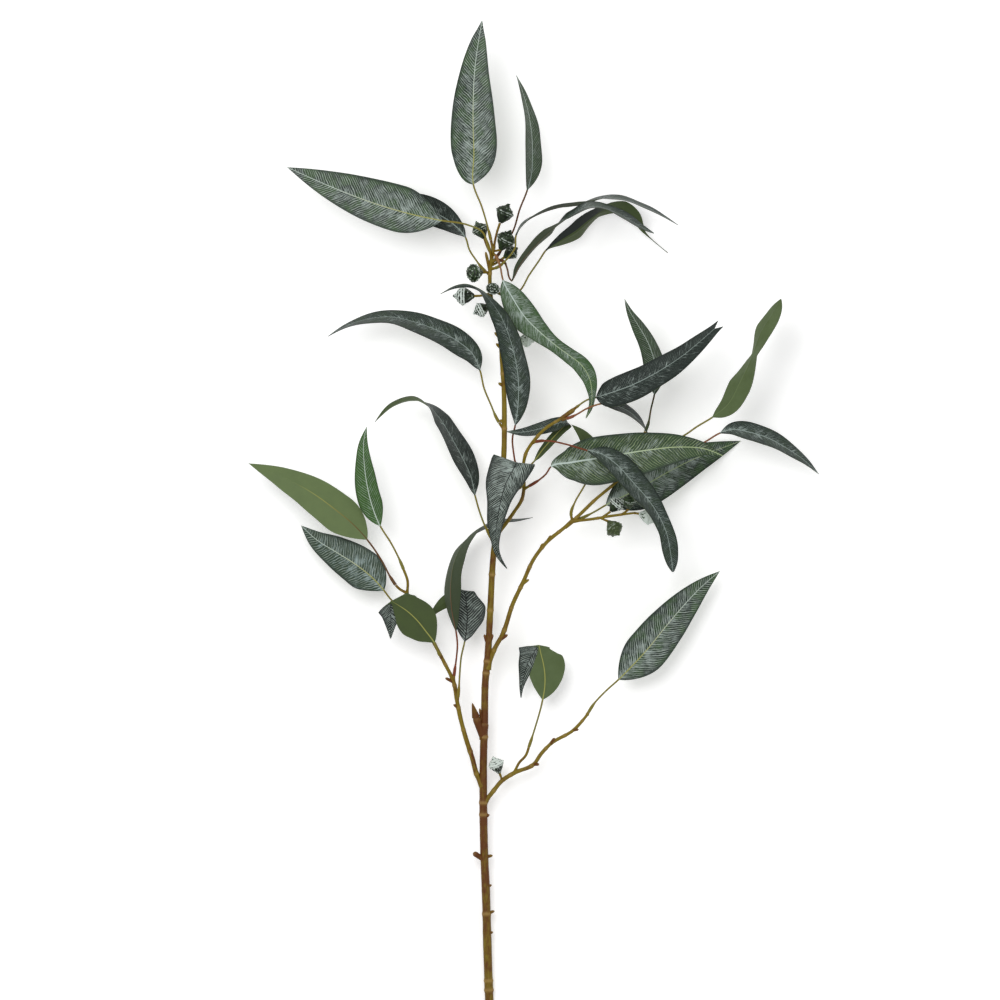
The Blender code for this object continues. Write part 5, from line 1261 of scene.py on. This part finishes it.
def wart_tree():
    """Geometry Nodes: scatter small warts over the upper part of a gumnut."""
    tree = bpy.data.node_groups.new("warts on a gumnut", "GeometryNodeTree")
    new_socket = tree.interface.new_socket
    new_socket(name="Geometry", in_out="INPUT", socket_type="NodeSocketGeometry")
    density = new_socket(name="Density", in_out="INPUT", socket_type="NodeSocketFloat")
    radius = new_socket(name="Wart radius", in_out="INPUT", socket_type="NodeSocketFloat")
    seed = new_socket(name="Seed", in_out="INPUT", socket_type="NodeSocketInt")
    skin = new_socket(name="Skin", in_out="INPUT", socket_type="NodeSocketMaterial")
    new_socket(name="Geometry", in_out="OUTPUT", socket_type="NodeSocketGeometry")
    given = tree.nodes.new("NodeGroupInput").outputs
    result = tree.nodes.new("NodeGroupOutput").inputs
    place = add_node(tree, "GeometryNodeInputNamedAttribute", {"Name": "nut_place"},
                     data_type="FLOAT_VECTOR")
    cap = add_node(tree, "ShaderNodeSeparateXYZ", {0: place.outputs[0]}).outputs[1]
    on_cap = add_node(tree, "FunctionNodeCompare", {0: cap, 1: WART_FLOOR}, data_type="FLOAT",
                      operation="GREATER_THAN")
    scattered = add_node(tree, "GeometryNodeDistributePointsOnFaces", {
        "Mesh": given["Geometry"], "Selection": on_cap.outputs[0], "Density": given["Density"],
        "Seed": given["Seed"]})
    wart = add_node(tree, "GeometryNodeMeshUVSphere", {"Segments": 8, "Rings": 5,
                                                       "Radius": given["Wart radius"]})
    spike = add_node(tree, "GeometryNodeTransform", {0: wart.outputs["Mesh"],
                                                     "Scale": (1.0, 1.0, WART_STRETCH)})
    size = add_node(tree, "FunctionNodeRandomValue", {2: 0.5, 3: 1.15, "Seed": given["Seed"]},
                    data_type="FLOAT")
    warts = add_node(tree, "GeometryNodeInstanceOnPoints", {
        "Points": scattered.outputs["Points"], "Instance": spike.outputs[0],
        "Rotation": scattered.outputs["Rotation"], "Scale": size.outputs[1]})
    real_warts = add_node(tree, "GeometryNodeRealizeInstances", {0: warts.outputs[0]})
    marked = add_node(tree, "GeometryNodeStoreNamedAttribute", {
        "Geometry": real_warts.outputs[0], "Name": "nut_place", "Value": WART_PLACE},
        data_type="FLOAT_VECTOR", domain="POINT")
    joined = add_node(tree, "GeometryNodeJoinGeometry")
    tree.links.new(given["Geometry"], joined.inputs[0])
    tree.links.new(marked.outputs[0], joined.inputs[0])
    real = add_node(tree, "GeometryNodeRealizeInstances", {0: joined.outputs[0]})
    dressed = add_node(tree, "GeometryNodeSetMaterial", {"Geometry": real.outputs[0],
                                                         "Material": given["Skin"]})
    tree.links.new(dressed.outputs[0], result["Geometry"])
    names = density.identifier, radius.identifier, seed.identifier, skin.identifier
    return tree, names


def nut_body(number, name, points, way, width):
    """Ribbed body of a gumnut with two rims, crumpled a little, with relief and height as attributes."""
    rng = np.random.default_rng(NUT_SEED + number)
    axis = np.array(way, float) / np.linalg.norm(way)
    side = np.cross(axis, [0.0, 0.0, 1.0])
    side /= np.linalg.norm(side)
    other = np.cross(axis, side)
    base = np.array(points[-1], float) + PIECE_GAP * axis
    outline, outline_lengths = smooth_route([(h, r, 0) for h, r in GUMNUT_OUTLINE], 0.01)
    outline_lengths = outline_lengths / outline_lengths[-1]
    stations = np.linspace(0, 1, NUT_RINGS)
    heights = np.interp(stations, outline_lengths, outline[:, 0])
    radii = np.interp(stations, outline_lengths, outline[:, 1])
    angles = 2 * math.pi * np.arange(NUT_SIDES) / NUT_SIDES
    phases = rng.uniform(0, 2 * math.pi, 3)
    rings, values = [], []
    for i, (height, radius) in enumerate(zip(heights, radii)):
        ends = 0 < i < NUT_RINGS - 1
        ribs = (1 - 2 * np.abs(np.sin(NUT_RIBS * angles / 2)) ** 0.7) * (1 - ease(0.45, 0.6, height))
        rim = bumps(height, [RIM_HEIGHT], RIM_HALF_HEIGHT)
        lower_rim = bumps(height, [LOWER_RIM_HEIGHT], LOWER_RIM_HALF_HEIGHT)
        teeth = RIM_TEETH * (0.6 + 0.4 * np.sin(RIM_TOOTH_COUNT * angles + phases[2])) * rim
        teeth += 0.8 * RIM_TEETH * lower_rim
        cap_folds = ease(0.7, 0.78, height) * np.sin(
            2 * math.pi * height / CAP_FOLD + 0.8 * np.sin(3 * angles + phases[1]))
        crumple = sum(depth * np.sin(around * angles + onward * height + phase)
                      for (depth, around, onward), phase in zip(CRUMPLES, phases))
        swell = 1 + ends * (NUT_RIB_SHARE * ribs + crumple + teeth + CAP_FOLD_SHARE * cap_folds)
        ring = radius * swell
        rings.append(base + width * (height * axis + ring[:, None] * (
            np.cos(angles)[:, None] * side + np.sin(angles)[:, None] * other)))
        relief = 0.35 + 0.12 * ribs + 6 * crumple + 0.35 * rim + 0.3 * lower_rim + 0.42 * cap_folds
        values.append(np.stack([relief, np.full(NUT_SIDES, height), np.zeros(NUT_SIDES)], axis=1))
    faces = []
    for i in range(NUT_RINGS - 1):
        for k in range(NUT_SIDES):
            a, b = i * NUT_SIDES + k, i * NUT_SIDES + (k + 1) % NUT_SIDES
            faces.append((a, b, b + NUT_SIDES, a + NUT_SIDES))
    faces.append(tuple(range(NUT_SIDES))[::-1])
    faces.append(tuple((NUT_RINGS - 1) * NUT_SIDES + k for k in range(NUT_SIDES)))
    return mesh_from(f"{name}_body", np.concatenate(rings), faces, [0] * len(faces),
                     {"nut_place": np.concatenate(values)}, NUT_SHARP)


def fine_nut(number, name, nut, tree, inputs, skin):
    """A gumnut with its warts, as one plain mesh."""
    points, way, width = nut
    carrier = bpy.data.objects.new(f"{name}_body", nut_body(number, name, points, way, width))
    bpy.context.scene.collection.objects.link(carrier)
    modifier = carrier.modifiers.new("warts", "NODES")
    modifier.node_group = tree
    for label, value in zip(inputs, (WART_DENSITY, WART_RADIUS, WART_SEED + number, skin)):
        modifier[label] = value
    return evaluated_mesh(carrier, f"{name}_warty")


def show(mesh, node):
    """Put a finished mesh in the scene in the place of a solid."""
    piece = bpy.data.objects.new(mesh.name, mesh)
    bpy.context.scene.collection.objects.link(piece)
    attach(piece, "root")
    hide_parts(node)


def branch():
    """Dress the whole branch."""
    face, back, bark, nut = leaf_face_group(), leaf_back_group(), bark_group(), nut_group()
    faces = {key: finish(f"leaf_face_{key}", face, values, 0.35) for key, values in LEAF_FACES.items()}
    backs = {key: finish(f"leaf_back_{key}", back, values, 0.3) for key, values in LEAF_BACKS.items()}
    stalks = {key: finish(f"stalk_{key}", bark, values, 0.3) for key, values in STALKS.items()}
    wood = finish("bark_olive", bark, {"Green tone": BARK_OLIVE, "Brown tone": BARK_BROWN}, 0.5, 0.0005)
    nuts = {key: finish(f"gumnut_{key}", nut, values, 0.5, 0.0005) for key, values in NUT_SKINS.items()}
    tree, sides_input, skin_input = swept_tree()
    show(wood_mesh(tree, sides_input, skin_input, wood), "stem")
    for number, (name, leaf) in enumerate(LEAVES.items()):
        mesh = fine_leaf(number, name, leaf)
        face_name, back_name, stalk_name = LEAF_LOOKS[name]
        for part in (faces[face_name], backs[back_name], stalks[stalk_name]):
            mesh.materials.append(part)
        show(mesh, name)
    tree, inputs = wart_tree()
    for number, (name, nut_row) in enumerate(GUMNUTS.items()):
        mesh = fine_nut(number, name, nut_row, tree, inputs, nuts[NUT_LOOKS[name]])
        show(mesh, name)


def studio():
    """Pale floor, soft light from above, and a camera that looks straight down."""
    mesh = bpy.data.meshes.new("floor")
    size = FLOOR_HALF_WIDTH
    mesh.from_pydata([(-size, -size, 0), (size, -size, 0), (size, size, 0), (-size, size, 0)], [],
                     [(0, 1, 2, 3)])
    floor = bpy.data.objects.new("floor", mesh)
    bpy.context.scene.collection.objects.link(floor)
    ground = bpy.data.materials.new("floor_white")
    ground.use_nodes = True
    shader = ground.node_tree.nodes["Principled BSDF"]
    shader.inputs["Base Color"].default_value = FLOOR_GREY
    shader.inputs["Roughness"].default_value = 0.9
    shader.inputs["Emission Color"].default_value = WHITE
    shader.inputs["Emission Strength"].default_value = FLOOR_GLOW
    mesh.materials.append(ground)

    world = bpy.data.worlds.new("studio")
    world.use_nodes = True
    around = world.node_tree.nodes["Background"].inputs
    around["Color"].default_value = WHITE
    around["Strength"].default_value = AMBIENT
    bpy.context.scene.world = world
    for name, place, power, width in LAMPS:
        light = bpy.data.lights.new(name, "AREA")
        light.energy = power
        light.size = width
        lamp = bpy.data.objects.new(name, light)
        lamp.location = place
        lamp.rotation_euler = (Vector((0, 0, 0)) - Vector(place)).to_track_quat("-Z", "Y").to_euler()
        lamp.visible_camera = False
        bpy.context.scene.collection.objects.link(lamp)

    view = bpy.data.cameras.new("camera")
    view.type = "ORTHO"
    view.ortho_scale = VIEW_WIDTH
    camera = bpy.data.objects.new("camera", view)
    camera.location = CAMERA_PLACE
    bpy.context.scene.view_settings.view_transform = "Standard"
    bpy.context.scene.collection.objects.link(camera)
    bpy.context.scene.camera = camera


branch()
studio()
